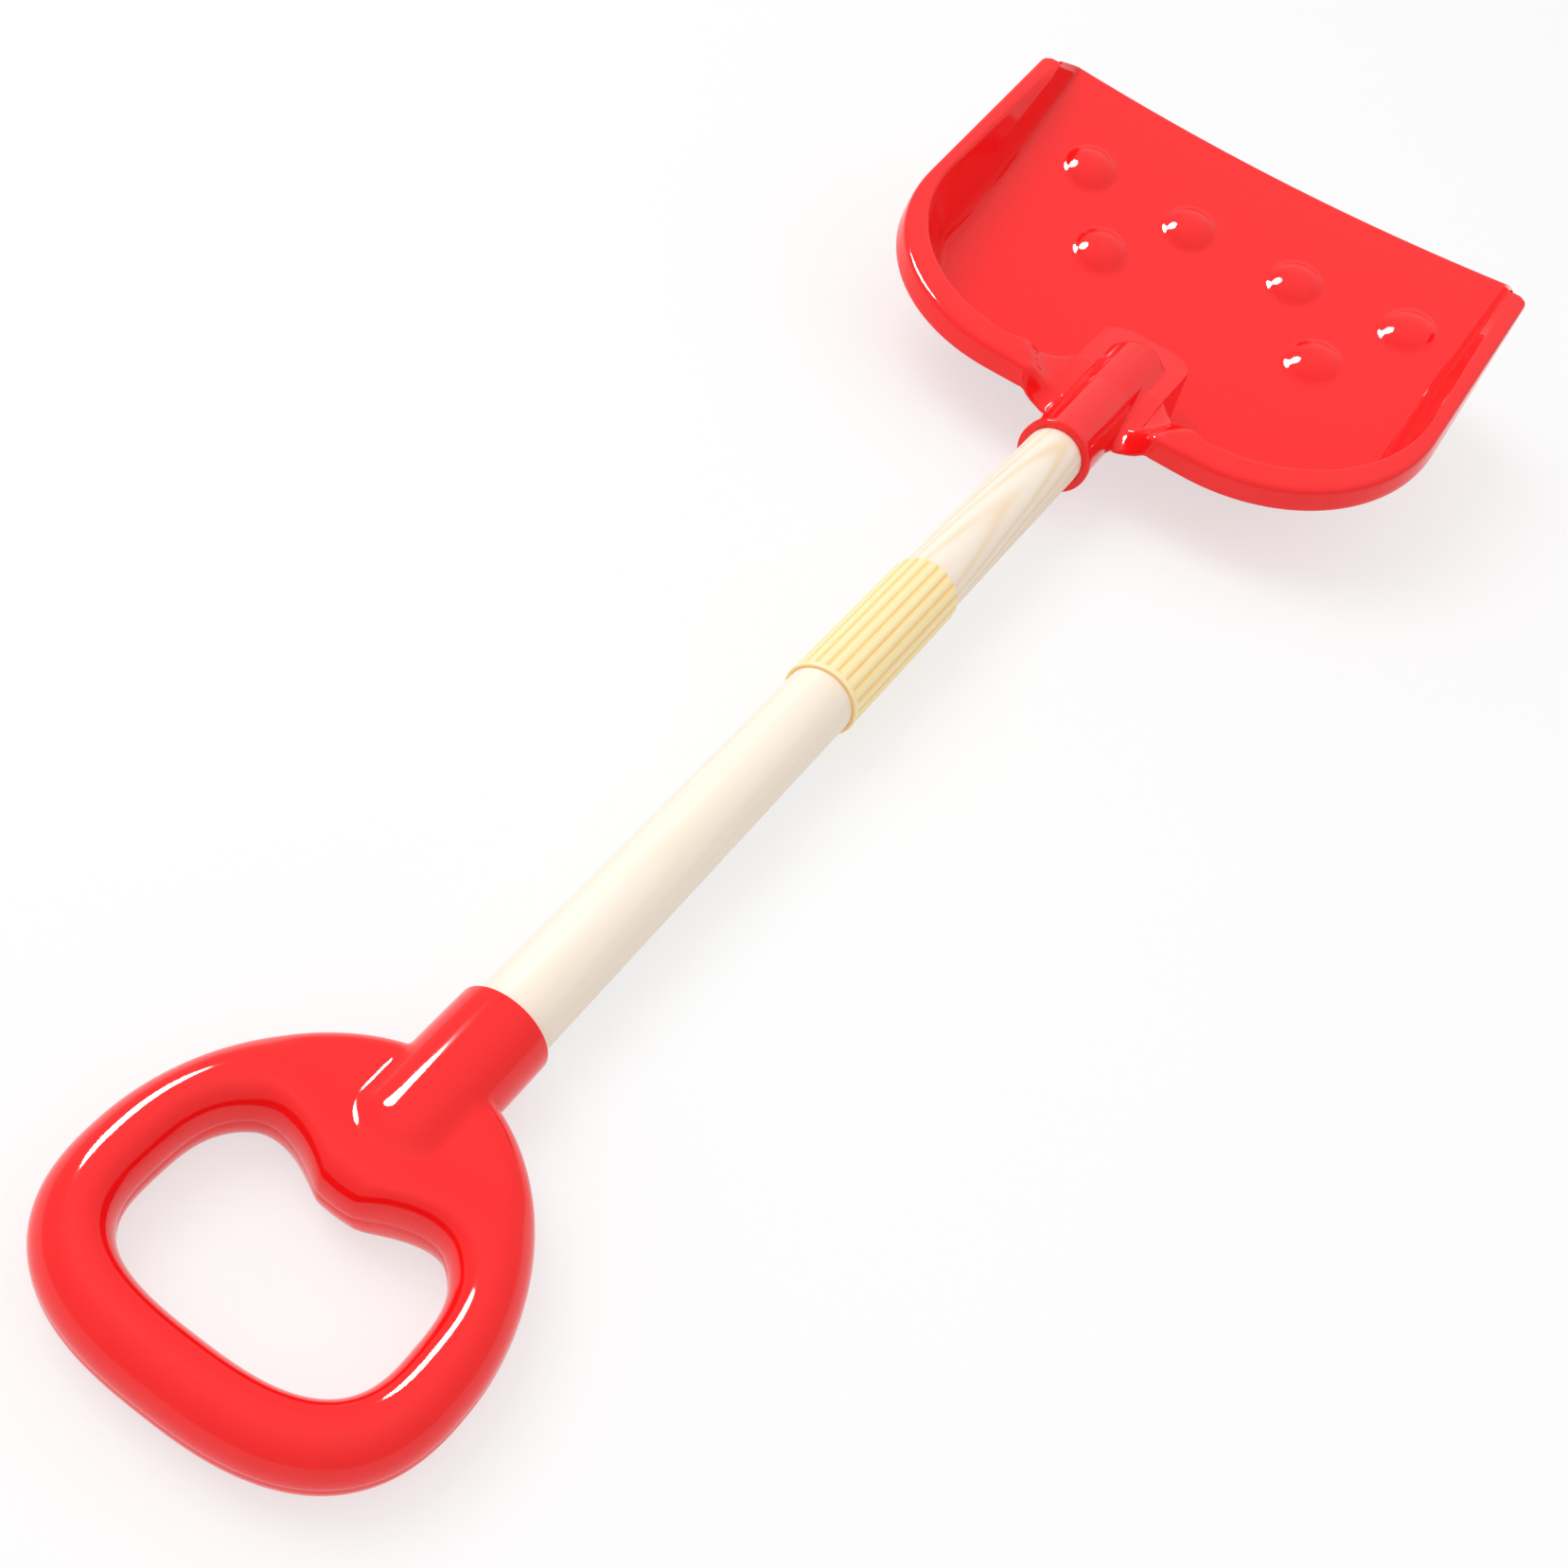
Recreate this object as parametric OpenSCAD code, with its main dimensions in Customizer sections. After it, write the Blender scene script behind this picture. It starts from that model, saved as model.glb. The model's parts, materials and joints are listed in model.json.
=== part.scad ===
// Toy sand shovel: scoop blade with a socket, wooden shaft, ribbed hand sleeve, D-grip of two shells.
// Pieces are drawn on the shaft axis: y = 0 at the grip collar's mouth, +Y to the blade, +Z out of the scoop.
// The lay() module then sets the shovel down on its back, centred on the origin.

/* [Shaft] */
// Diameter of the wooden dowel
dowel_d = 25; // [20:0.5:30]
// Bare dowel between the grip collar and the blade socket
shaft_run = 363; // [260:1:600]
// Radial clearance of the dowel in its sockets and in the sleeve
dowel_gap = 0.15; // [0.1:0.05:0.3]

/* [Sleeve] */
// Distance from the grip collar to the sleeve
sleeve_start = 171.8; // [120:1:176]
// Length of the sleeve
sleeve_len = 80; // [40:1:84]
// Thickness of the sleeve at the crest of a rib
sleeve_wall = 1.3; // [1:0.1:2]
// Number of ribs round the sleeve
rib_count = 20; // [16:1:24]
// Radius of each rib's round back
rib_r = 3.4; // [2.8:0.1:4]
// Length of the plain ring at the sleeve's grip end
sleeve_ring = 2; // [1:0.5:6]
// Height of that ring above the ribs
ring_lip = 0.15; // [0.1:0.05:0.5]

/* [Grip] */
// Width across the D-grip
grip_w = 116; // [100:1:140]
// Length from the collar's mouth to the outer end of the grip
grip_len = 131.5; // [120:1:150]
// Distance from the collar's mouth to the widest line of the grip
grip_mid = 86; // [80:1:90]
// Distance from the collar's mouth to the point where the shoulders would meet
shoulder_y = 19; // [10:1:24]
// Width of the hand bar and of the side bars
bar_w = 18.4; // [16:0.2:22]
// Half thickness of the bar
bar_half_t = 12; // [10:0.5:13]
// Half thickness of the flat web between the bar and the collar
web_half_t = 9.6; // [8:0.2:10.5]
// Radius of the web's rounded outer edge
web_edge_r = 5; // [3:0.5:7]
// Radius of the two round lobes of the hand opening
lobe_r = 14.5; // [12:0.5:16]
// How far the palm bulge dips below the tops of the lobes
bulge_drop = 8.3; // [6:0.1:10]
// Distance from the collar's mouth to the tops of the lobes
lobe_top = 61; // [60:0.5:64]
// Wall thickness of the grip shells
grip_wall = 2.2; // [1.6:0.1:2.6]
// Wall thickness of the collar
collar_wall = 2.35; // [2:0.05:3]
// Distance from the collar's mouth to the centre of its round end
collar_len = 43; // [38:0.5:44]
// Depth of the dowel in the collar
grip_insert = 38; // [25:0.5:40]

/* [Blade] */
// Width across the outer edge of the rim
rim_w = 251; // [220:1:290]
// Distance from the socket's mouth to the outer edge of the rim at the back
rim_start = 28.5; // [25:0.5:35]
// Length of the scoop from the back of the rim to the middle of the front edge
scoop_len = 217.5; // [190:1:250]
// Distance from the front edge back to the corners of the scoop's lip
lip_back = 5; // [3:0.5:8]
// Distance from the lip corners back to the tips of the rim
tip_back = 26; // [20:1:32]
// Radius of the rim's outer back corners
corner_r = 79; // [70:1:90]
// Width of the rim at the sides
rim_side_w = 5.8; // [5.4:0.1:8]
// Width of the rim at the back
rim_back_w = 12.5; // [10:0.5:15]
// Height of the rim's back edge above the shaft axis
rim_rise = 13.7; // [12:0.1:16]
// Slope of the rim, from the shaft axis
rim_tilt = 11.45; // [9:0.05:14]
// Drop of the skirt below the rim
skirt_drop = 8; // [6:0.5:10]
// Outward lean of the skirt over its drop
skirt_lean = 2.4; // [1.5:0.1:3]
// Height of the middle of the front edge above the shaft axis
lip_rise = 37.2; // [34:0.1:40]
// Slope of the floor, from the shaft axis
floor_tilt = 22.8; // [21:0.1:24]
// Rise of the floor from its middle to its sides
floor_sag = 7; // [3:0.5:9]
// Run of the side walls from the rim to the floor
side_run = 14; // [12:0.5:20]
// Run of the back wall from the rim to the floor
back_run = 51; // [48:0.5:56]
// Wall thickness of the blade
blade_wall = 2; // [1.6:0.1:2.2]

/* [Blade socket] */
// Wall thickness of the socket tube
socket_wall = 2.35; // [2:0.05:3]
// Length of the socket tube
socket_len = 88; // [80:1:95]
// Thickness of the wall that closes the tube's far end
socket_end = 3; // [2:0.5:4]
// Length of the ring round the socket's mouth
mouth_ring = 3; // [2:0.5:5]
// Height of the mouth ring above the tube
mouth_lip = 1; // [0.5:0.1:2]
// Half width of the raised pad round the socket
pad_half_w = 21.5; // [20:0.5:24]
// Distance from the end of the tube to the front of the pad
pad_front = 15.5; // [12:0.5:18]
// Radius of the pad's front corners
pad_r = 12; // [8:0.5:15]
// Height of the pad above the shaft axis
pad_rise = 8; // [6:0.5:9]
// Dip of the deck below the rim's plane beside the tube
deck_dip = 12; // [10:0.5:13]
// How far the deck's inner edge runs forward beside the tube
deck_pull = 24; // [20:0.5:28]
// How far the deck's outer edge runs forward beside the tube
deck_notch = 9; // [5:0.5:11]
// Radius of the web that carries the skirt along the tube
skirt_fillet = 16; // [8:1:20]

/* [Bumps] */
// Diameter of each round bump in the floor
bump_d = 26; // [20:1:28]
// Height of each bump
bump_h = 5; // [3:0.5:6]
// Spacing of the bumps across the scoop
bump_pitch = 56.3; // [50:0.5:60]
// Distance from the front edge to the front row of bumps
bump_row_front = 49; // [45:1:55]
// Distance from the front row to the rear row
bump_row_gap = 34.5; // [30:0.5:40]
// Sideways offset of the whole bump pattern
bump_shift = 4; // [0:0.5:4]

/* [Screws] */
// Diameter of the screw shanks
screw_d = 3; // [2.5:0.1:3.5]
// Diameter of the countersunk heads
screw_head_d = 6; // [5:0.2:6.4]
// Width of the cross slot in the heads
driver_w = 0.8; // [0.6:0.1:1]
// Depth of the cross slot
driver_depth = 1; // [0.6:0.1:1.2]
// Length of the screws
screw_len = 14; // [12:0.5:16]
// Distance of the grip screw from the collar's mouth
grip_screw_y = 14; // [10:0.5:20]
// Distance of the blade screw from the socket's mouth
blade_screw_y = 14; // [10:0.5:18]

/* [Hidden] */
$fn = 72;
overrun = 1;
screw_gap = 0.05;
head_depth = (screw_head_d - screw_d) / 2;
bump_sides = 32;
pad_step = 15;

red = [0.92, 0.11, 0.1];
pine = [0.93, 0.85, 0.7];
cream = [0.98, 0.88, 0.6];
zinc = [0.75, 0.76, 0.78];

dowel_r = dowel_d / 2;
bore_r = dowel_r + dowel_gap;
sleeve_r = dowel_r + sleeve_wall;
collar_r = bore_r + collar_wall;
socket_r = bore_r + socket_wall;
mouth_y = shaft_run;
socket_end_y = mouth_y + socket_len;
dowel_end_y = socket_end_y - socket_end - dowel_gap;

// Grip outline, in polar form about the middle of its widest line

lower_power = 2.6;
upper_power = 1.8;
hole_power = 3;
hole_half_w = grip_w / 2 - bar_w;
lobe_x = hole_half_w - lobe_r;
lobe_y = grip_mid - lobe_top - lobe_r;
bulge_low = grip_mid - lobe_top - bulge_drop;
bulge_rise = bulge_low - lobe_y;
bulge_r = (pow(lobe_x, 2) + pow(bulge_rise, 2) - pow(lobe_r, 2)) / (2 * (lobe_r - bulge_rise));
bulge_y = bulge_low + bulge_r;
join_share = lobe_r / (lobe_r + bulge_r);
join_angle = atan2(lobe_y + (bulge_y - lobe_y) * join_share, lobe_x * (1 - join_share));

function power_r(a, w, h, p) = pow(pow(abs(cos(a)) / w, p) + pow(abs(sin(a)) / h, p), -1 / p);

function circle_far(a, x, y, r) = let (m = x * cos(a) + y * sin(a)) m + sqrt(m * m - x * x - y * y + r * r);

function circle_near(a, y, r) = let (m = y * sin(a)) m - sqrt(m * m - y * y + r * r);

function outer_r(a) = sin(a) < 0
    ? power_r(a, grip_w / 2, grip_len - grip_mid, lower_power)
    : power_r(a, grip_w / 2, grip_mid - shoulder_y, upper_power);

function upper_hole_r(a) = a < atan2(lobe_y, hole_half_w) ? hole_half_w / cos(a)
    : a < join_angle ? circle_far(a, lobe_x, lobe_y, lobe_r)
    : circle_near(a, bulge_y, bulge_r);

function hole_r(a) = sin(a) < 0
    ? power_r(a, hole_half_w, grip_len - bar_w - grip_mid, hole_power)
    : upper_hole_r(a <= 90 ? a : 180 - a);

// Height of the grip's surface: a round bar beside the opening and a flat web out to the edge
crown_power = 2.5;
crest_share = 0.45;
crest = bar_w * crest_share;

function crown(u) = pow(1 - pow(min(abs(1 - u), 1), crown_power), 1 / crown_power);

function bar_z(d, inset) = (bar_half_t - inset) * crown(d / (crest - inset));

function web_z(d, inset) = (web_half_t - inset) * crown(min(d / (web_edge_r - inset / 2), 1));

function grip_z(d, span, inset) = d <= crest - inset ? bar_z(d, inset)
    : max(bar_z(d, inset), web_z(span - d, inset));

grip_steps = 64;
edge_steps = 4;
web_steps = 3;

// Distances across the bar and web at which the surface is sampled, as shares of the crest's distance
function across(span, inset) = let (c = crest - inset) [
    for (k = [0:edge_steps]) c * (1 - cos(90 * k / edge_steps)),
    for (k = [1:web_steps - 1]) c + (span - 2 * c) * k / web_steps,
    for (k = [edge_steps:-1:0]) span - c * (1 - cos(90 * k / edge_steps))];

function grip_station(a, inset) = let (near = hole_r(a) + inset, span = outer_r(a) - inset - near)
    [for (d = across(span, inset)) [(near + d) * cos(a), (near + d) * sin(a) - grip_mid, grip_z(d, span, inset)]];

function flat(rows) = [for (row = rows) for (p = row) p];

// One hollow half of the ring, open at the parting plane
module ring_shell() {
    outside = [for (i = [0:grip_steps - 1]) grip_station(360 * i / grip_steps, 0)];
    inside = [for (i = [0:grip_steps - 1]) grip_station(360 * i / grip_steps, grip_wall)];
    n = len(outside[0]);
    lift = grip_steps * n;
    function at(i, k) = (i % grip_steps) * n + k;
    polyhedron(concat(flat(outside), flat(inside)), [
        for (i = [0:grip_steps - 1]) for (k = [0:n - 2]) each [
            [at(i, k), at(i + 1, k), at(i + 1, k + 1)], [at(i, k), at(i + 1, k + 1), at(i, k + 1)],
            [lift + at(i, k), lift + at(i + 1, k + 1), lift + at(i + 1, k)],
            [lift + at(i, k), lift + at(i, k + 1), lift + at(i + 1, k + 1)]],
        for (i = [0:grip_steps - 1]) each [
            [at(i, 0), lift + at(i + 1, 0), at(i + 1, 0)], [at(i, 0), lift + at(i, 0), lift + at(i + 1, 0)],
            [at(i, n - 1), at(i + 1, n - 1), lift + at(i + 1, n - 1)],
            [at(i, n - 1), lift + at(i + 1, n - 1), lift + at(i, n - 1)]]]);
}

// Cylinder along +Y from y0 to y1
module rod(r, y0, y1) {
    translate([0, y0, 0]) rotate([-90, 0, 0]) cylinder(r = r, h = y1 - y0);
}

module upper_half(size) {
    translate([-size, -2 * size, 0]) cube([2 * size, 3 * size, size]);
}

// Space for a countersunk screw driven up through the underside of a tube of radius r
module screw_space(y, r, gap) {
    translate([0, y, -r]) {
        cylinder(r = screw_d / 2 + gap, h = screw_len + gap);
        translate([0, 0, gap]) cylinder(r1 = screw_head_d / 2 + gap, r2 = screw_d / 2 + gap, h = head_depth);
        translate([0, 0, -overrun]) cylinder(r = screw_head_d / 2 + gap, h = overrun + gap);
    }
}

module screw(y, r) {
    translate([0, y, -r]) difference() {
        union() {
            translate([0, 0, head_depth / 2]) cylinder(r = screw_d / 2, h = screw_len - head_depth / 2);
            cylinder(r1 = screw_head_d / 2, r2 = screw_d / 2, h = head_depth);
        }
        for (turn = [0, 90]) rotate(turn)
            translate([-screw_d / 2, -driver_w / 2, -overrun]) cube([screw_d, driver_w, overrun + driver_depth]);
    }
}

module half_grip() {
    difference() {
        union() {
            ring_shell();
            intersection() {
                union() {
                    rod(collar_r, -collar_len, 0);
                    translate([0, -collar_len, 0]) sphere(r = collar_r);
                }
                upper_half(grip_len);
            }
        }
        rod(bore_r, -grip_insert - dowel_gap, overrun);
    }
}

// Blade surface: rows of points from one skirt edge over the rim and floor to the other skirt edge
draft_share = 0.45;
side_rows = 9;
corner_rows = 9;
back_rows = 8;
half_rows = side_rows + corner_rows + back_rows;
wall_steps = 6;
floor_steps = 4;

rim_y = mouth_y + rim_start;
lip_y = rim_y + scoop_len;
lip_corner_y = lip_y - lip_back;
tip_y = lip_corner_y - tip_back;
rim_half_w = rim_w / 2;
inner_half_w = rim_half_w - rim_side_w;
inner_r = corner_r - rim_side_w / 2;
inner_y = rim_y + rim_back_w + inner_r;
outer_y = rim_y + corner_r;
dip_w = 3 * socket_r;

// Blend from 0 at the far side of the deck to 1 beside the tube
function deck_blend(x) = let (u = min(max((dip_w - abs(x)) / (dip_w - socket_r), 0), 1)) u * u * (3 - 2 * u);

function rim_z(x, y) = rim_rise + (y - rim_y) * tan(rim_tilt) - deck_dip * deck_blend(x);

function floor_z(x, y) = lip_rise + (y - lip_y) * tan(floor_tilt) + floor_sag * pow(x / inner_half_w, 2);

// Each station holds the outer edge, the inner edge, the outward direction and the wall's run, for x >= 0
function side_station(u) = let (lean = (1 - u) * tip_back)
    [[rim_half_w, tip_y + (outer_y - tip_y) * u], [inner_half_w, lip_corner_y - lean + (inner_y - lip_corner_y) * u],
     [1, 0], side_run * (1 - (1 - u) / 2), lean];

function corner_station(a) = let (way = [cos(a), -sin(a)])
    [[rim_half_w - corner_r, outer_y] + corner_r * way, [inner_half_w - inner_r, inner_y] + inner_r * way,
     way, side_run + (back_run - side_run) * pow(sin(a), 2), 0];

function back_station(u) = let (xo = (rim_half_w - corner_r) * (1 - u), xi = (inner_half_w - inner_r) * (1 - u),
        pull = deck_pull * deck_blend(xi))
    [[xo, rim_y + deck_notch * deck_blend(xo)], [xi, rim_y + rim_back_w + pull], [0, -1], back_run - pull, 0];

function station(i) = i < side_rows ? side_station(i / side_rows)
    : i < side_rows + corner_rows ? corner_station(90 * (i - side_rows) / corner_rows)
    : back_station((i - side_rows - corner_rows) / (back_rows - 1));

// Columns of a half row: skirt edge, outer edge, inner edge, wall down to the floor, floor to the middle
half_columns = 3 + wall_steps + floor_steps;
columns = 2 * half_columns - 1;

function spot(xy, z) = [xy[0], xy[1], z];

function skirt_spot(s) = let (x = s[0][0], out = skirt_lean + skirt_fillet * pow(deck_blend(x), 3) * -s[2][1])
    spot(s[0] + out * s[2], rim_z(x, s[0][1]) - skirt_drop);

function foot(s) = s[1] - s[3] * s[2] + [0, s[4]];

function wall_spot(s, j, t) = let (a = 90 * j / wall_steps, f = foot(s),
        run = s[3] * (draft_share * sin(a) + (1 - draft_share) * (1 - cos(a))),
        top = rim_z(s[1][0], s[1][1]), fall = (top - floor_z(f[0], f[1])) * sin(a))
    spot(s[1] - (run - t * cos(a)) * s[2] + [0, s[4] * sin(a)], top - fall - t * sin(a));

function floor_spot(s, i, j, t) = let (f = foot(s), u = 1 - j / floor_steps,
        mid = lip_y + (inner_y - lip_y) * i / (half_rows - 1), y = mid + (f[1] - mid) * u * u)
    [f[0] * u, y, floor_z(f[0] * u, y) - t];

// Point of row i and half column k, on the upper face for t = 0 and on the lower face for the wall's thickness
function blade_spot(i, k, t) = let (s = station(i))
    k == 0 ? skirt_spot(s) - spot(t * s[2], 0)
    : k == 1 ? spot(s[0] - t * s[2], rim_z(s[0][0], s[0][1]) - t)
    : k == 2 ? spot(s[1] + t * s[2], rim_z(s[1][0], s[1][1]) - t)
    : k <= 2 + wall_steps ? wall_spot(s, k - 2, t)
    : floor_spot(s, i, k - 2 - wall_steps, t);

function mirrored(p) = [-p[0], p[1], p[2]];

function blade_face(t) = [
    for (i = [0:half_rows - 2]) for (m = [0:columns - 1])
        m < half_columns ? blade_spot(i, m, t) : mirrored(blade_spot(i, columns - 1 - m, t)),
    for (k = [0:half_columns - 1]) blade_spot(half_rows - 1, k, t)];

upper_face = blade_face(0);
lower_face = blade_face(blade_wall);

function at_row(i, m) = i * columns + (i < half_rows - 1 ? m : min(m, columns - 1 - m));

module scoop_sheet() {
    low = len(upper_face);
    last = columns - 1;
    polyhedron(concat(upper_face, lower_face), [
        for (i = [0:half_rows - 2]) for (m = [0:columns - 2])
            let (a = at_row(i, m), b = at_row(i, m + 1), c = at_row(i + 1, m + 1), d = at_row(i + 1, m)) each [
                [a, d, c], [a, c, b], [low + a, low + c, low + d], [low + a, low + b, low + c]],
        for (m = [0:columns - 2]) each [
            [m, m + 1, low + m + 1], [m, low + m + 1, low + m]],
        for (i = [0:half_rows - 2]) each [
            [at_row(i, 0), low + at_row(i, 0), low + at_row(i + 1, 0)],
            [at_row(i, 0), low + at_row(i + 1, 0), at_row(i + 1, 0)],
            [at_row(i, last), low + at_row(i + 1, last), low + at_row(i, last)],
            [at_row(i, last), at_row(i + 1, last), low + at_row(i + 1, last)]]]);
}

foot_y = rim_y + rim_back_w + back_run;
pad_back_y = rim_y + rim_back_w + deck_pull;
pad_tip_y = socket_end_y + pad_front;
depth = lip_rise - floor_z(0, foot_y);

module pad_plan(inset, back_y) {
    w = pad_half_w - inset;
    r = pad_r - inset;
    polygon([[w, back_y], for (a = [0:pad_step:180]) let (side = a < 90 ? 1 : a > 90 ? -1 : 0)
        side == 0 ? [0, pad_tip_y - inset] : [side * (w - r) + r * cos(a), pad_tip_y - pad_r + r * sin(a)], [-w, back_y]]);
}

// Raised pad in the scoop's floor, over the end of the socket tube
module pad() {
    t = blade_wall / 2;
    front = pad_tip_y + overrun;
    back = pad_back_y - blade_wall - overrun;
    width = 2 * (pad_half_w + overrun);
    difference() {
        translate([0, 0, -depth]) linear_extrude(depth + pad_rise) pad_plan(0, pad_back_y - blade_wall);
        rotate([90, 0, 90]) translate([0, 0, -width / 2]) linear_extrude(width) polygon([
            [back, -depth - overrun], [front, -depth - overrun], [front, floor_z(0, front) - t],
            [foot_y, floor_z(0, foot_y) - t], [back, rim_z(0, pad_back_y) - t]]);
    }
}

module pad_core() {
    translate([0, 0, -depth - pad_rise]) linear_extrude(depth + 2 * pad_rise - blade_wall)
        pad_plan(blade_wall, pad_back_y + pad_r);
}

// Places its children at each bump, with Z square to the floor
module at_bumps() {
    for (spot = [[-1.5, 0], [-0.5, 0], [0.5, 0], [1.5, 0], [-1, 1], [1, 1]]) {
        x = spot[0] * bump_pitch + bump_shift;
        y = lip_y - bump_row_front - spot[1] * bump_row_gap;
        translate([x, y, floor_z(x, y)]) rotate([floor_tilt, 0, 0]) children();
    }
}

module bump_form(inset) {
    r = (pow(bump_d / 2, 2) + pow(bump_h, 2)) / (2 * bump_h);
    low = inset > 0 ? blade_wall + overrun : blade_wall / 2;
    intersection() {
        translate([0, 0, bump_h - r]) sphere(r = r - inset, $fn = bump_sides);
        translate([0, 0, -low]) cylinder(r = bump_d / 2, h = low + bump_h, $fn = bump_sides);
    }
}

// Setting down: the collar's round end and the scoop's belly both touch the ground

belly_tilts = [for (p = lower_face) if (abs(p[0]) > pad_half_w - blade_wall)
    atan2(-p[2] - collar_r, p[1] + collar_len)];
rest_tilt = max(belly_tilts);
rest_lift = collar_len * sin(rest_tilt) + collar_r;
front_reach = max([for (p = concat(upper_face, lower_face)) p[1] * cos(rest_tilt) - p[2] * sin(rest_tilt)]);
mid_y = (front_reach - grip_len * cos(rest_tilt)) / 2;

module lay() {
    translate([0, -mid_y, rest_lift]) rotate([rest_tilt, 0, 0]) children();
}

module blade() {
    color(red) lay() difference() {
        union() {
            difference() {
                union() {
                    scoop_sheet();
                    pad();
                }
                pad_core();
            }
            rod(socket_r, mouth_y, socket_end_y);
            rod(socket_r + mouth_lip, mouth_y, mouth_y + mouth_ring);
            at_bumps() bump_form(0);
        }
        rod(bore_r, mouth_y - overrun, socket_end_y - socket_end);
        at_bumps() bump_form(blade_wall);
        screw_space(mouth_y + blade_screw_y, socket_r, screw_gap);
    }
}

module shaft() {
    color(pine) lay() difference() {
        rod(dowel_r, -grip_insert, dowel_end_y);
        screw_space(mouth_y + blade_screw_y, socket_r, screw_gap);
        screw_space(-grip_screw_y, collar_r, screw_gap);
    }
}

module sleeve() {
    color(cream) lay() difference() {
        union() {
            rod(sleeve_r + ring_lip, sleeve_start, sleeve_start + sleeve_ring);
            translate([0, sleeve_start + sleeve_ring / 2, 0]) rotate([-90, 0, 0])
                linear_extrude(sleeve_len - sleeve_ring / 2) {
                    circle(r = dowel_r + sleeve_wall / 2);
                    for (i = [0:rib_count - 1]) rotate(360 * i / rib_count) translate([sleeve_r - rib_r, 0])
                        circle(r = rib_r);
                }
        }
        rod(bore_r, sleeve_start - overrun, sleeve_start + sleeve_len + overrun);
    }
}

module grip_front_shell() {
    color(red) lay() half_grip();
}

module grip_back_shell() {
    color(red) lay() difference() {
        mirror([0, 0, 1]) half_grip();
        screw_space(-grip_screw_y, collar_r, screw_gap);
    }
}

module blade_screw() {
    color(zinc) lay() screw(mouth_y + blade_screw_y, socket_r);
}

module grip_screw() {
    color(zinc) lay() screw(-grip_screw_y, collar_r);
}

blade();
shaft();
sleeve();
grip_front_shell();
grip_back_shell();
blade_screw();
grip_screw();
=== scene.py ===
"""Toy sand shovel, dressed for a studio picture.

Shapes are worked out in the shovel's own axes, in metres: the shaft lies along Y, with y = 0 at the mouth of
the grip's collar, +Y towards the scoop and +Z out of the scoop. place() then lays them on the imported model.
"""

import json
import math

import bpy
import numpy as np
from bpy.props import FloatProperty, FloatVectorProperty, IntProperty, PointerProperty
from mathutils import Matrix, Vector


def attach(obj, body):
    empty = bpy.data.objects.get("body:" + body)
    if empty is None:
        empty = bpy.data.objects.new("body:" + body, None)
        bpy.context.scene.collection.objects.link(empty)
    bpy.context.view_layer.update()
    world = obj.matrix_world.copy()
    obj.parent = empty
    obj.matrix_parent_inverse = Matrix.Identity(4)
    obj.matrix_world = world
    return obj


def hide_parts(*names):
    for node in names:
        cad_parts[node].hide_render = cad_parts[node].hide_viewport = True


bl_info = {
    "name": "Toy sand shovel",
    "version": (1, 0, 0),
    "blender": (4, 5, 0),
    "location": "View3D > Sidebar > Shovel",
    "description": "Makes a child's sand shovel with a scoop, wooden shaft, ribbed sleeve and D-grip",
    "category": "Add Mesh",
}

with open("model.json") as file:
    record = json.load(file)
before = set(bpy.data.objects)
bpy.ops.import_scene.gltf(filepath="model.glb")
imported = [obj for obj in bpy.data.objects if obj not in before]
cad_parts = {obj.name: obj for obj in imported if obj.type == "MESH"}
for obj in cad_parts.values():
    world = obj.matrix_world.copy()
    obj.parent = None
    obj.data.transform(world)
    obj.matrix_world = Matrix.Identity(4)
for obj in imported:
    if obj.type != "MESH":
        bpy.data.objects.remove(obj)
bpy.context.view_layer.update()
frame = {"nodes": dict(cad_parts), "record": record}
MM = 0.001
BODY = "root"
# Least length in a division, least radius beside an axis, and how far a form sinks into the one that it joins
TINY = 1e-12
AXIS = 0.01 * MM
SINK = 0.05 * MM
# Points on each rounded corner of a turned profile
ROUND_STEPS = 6

# The shaft's own axes, from the mount on the bare wood

seat = next(m for m in frame["record"]["mounts"] if m["name"] == "shaft_clip_seat")
SEAT_Y = 100 * MM
REST_TILT = math.atan2(seat["axis"][1], -seat["axis"][2])
TURN = Matrix.Rotation(REST_TILT, 3, "X")
ORIGIN = Vector(seat["pos_m"]) - TURN @ Vector((0, SEAT_Y, 0))


def place(points):
    """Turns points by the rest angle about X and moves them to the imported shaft's place."""
    return points @ np.array(TURN).T + np.array(ORIGIN)


# Sizes and colours


def size(name, millimetres, text):
    """A length property, given in millimetres and kept in metres."""
    return FloatProperty(name=name, description=text, default=millimetres * MM, unit="LENGTH", precision=4)


def tint(name, rgb, text):
    """A colour property in scene-linear values."""
    return FloatVectorProperty(name=name, description=text, default=rgb, subtype="COLOR", size=3,
                               min=0, max=1)


class ShovelShaft(bpy.types.PropertyGroup):
    radius: size("Radius", 12.5, "Radius of the wooden dowel")
    start: size("Start", -38, "End of the dowel inside the grip")
    end: size("End", 447.5, "End of the dowel inside the socket")
    chamfer: size("Chamfer", 0.8, "Rounding of the dowel's ends")


class ShovelSleeve(bpy.types.PropertyGroup):
    start: size("Start", 171.8, "Distance from the grip's collar to the sleeve")
    length: size("Length", 77, "Length of the sleeve")
    crest: size("Crest radius", 13.8, "Distance of the rib crests from the shaft's axis")
    bore: size("Bore radius", 12.6, "Radius of the sleeve's bore")
    rib: size("Rib radius", 3.4, "Radius of each rib's round back")
    ring: size("Ring", 2, "Length of the plain ring at the grip end")
    ribs: IntProperty(name="Ribs", description="Number of ribs round the sleeve", default=20, min=3)


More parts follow.
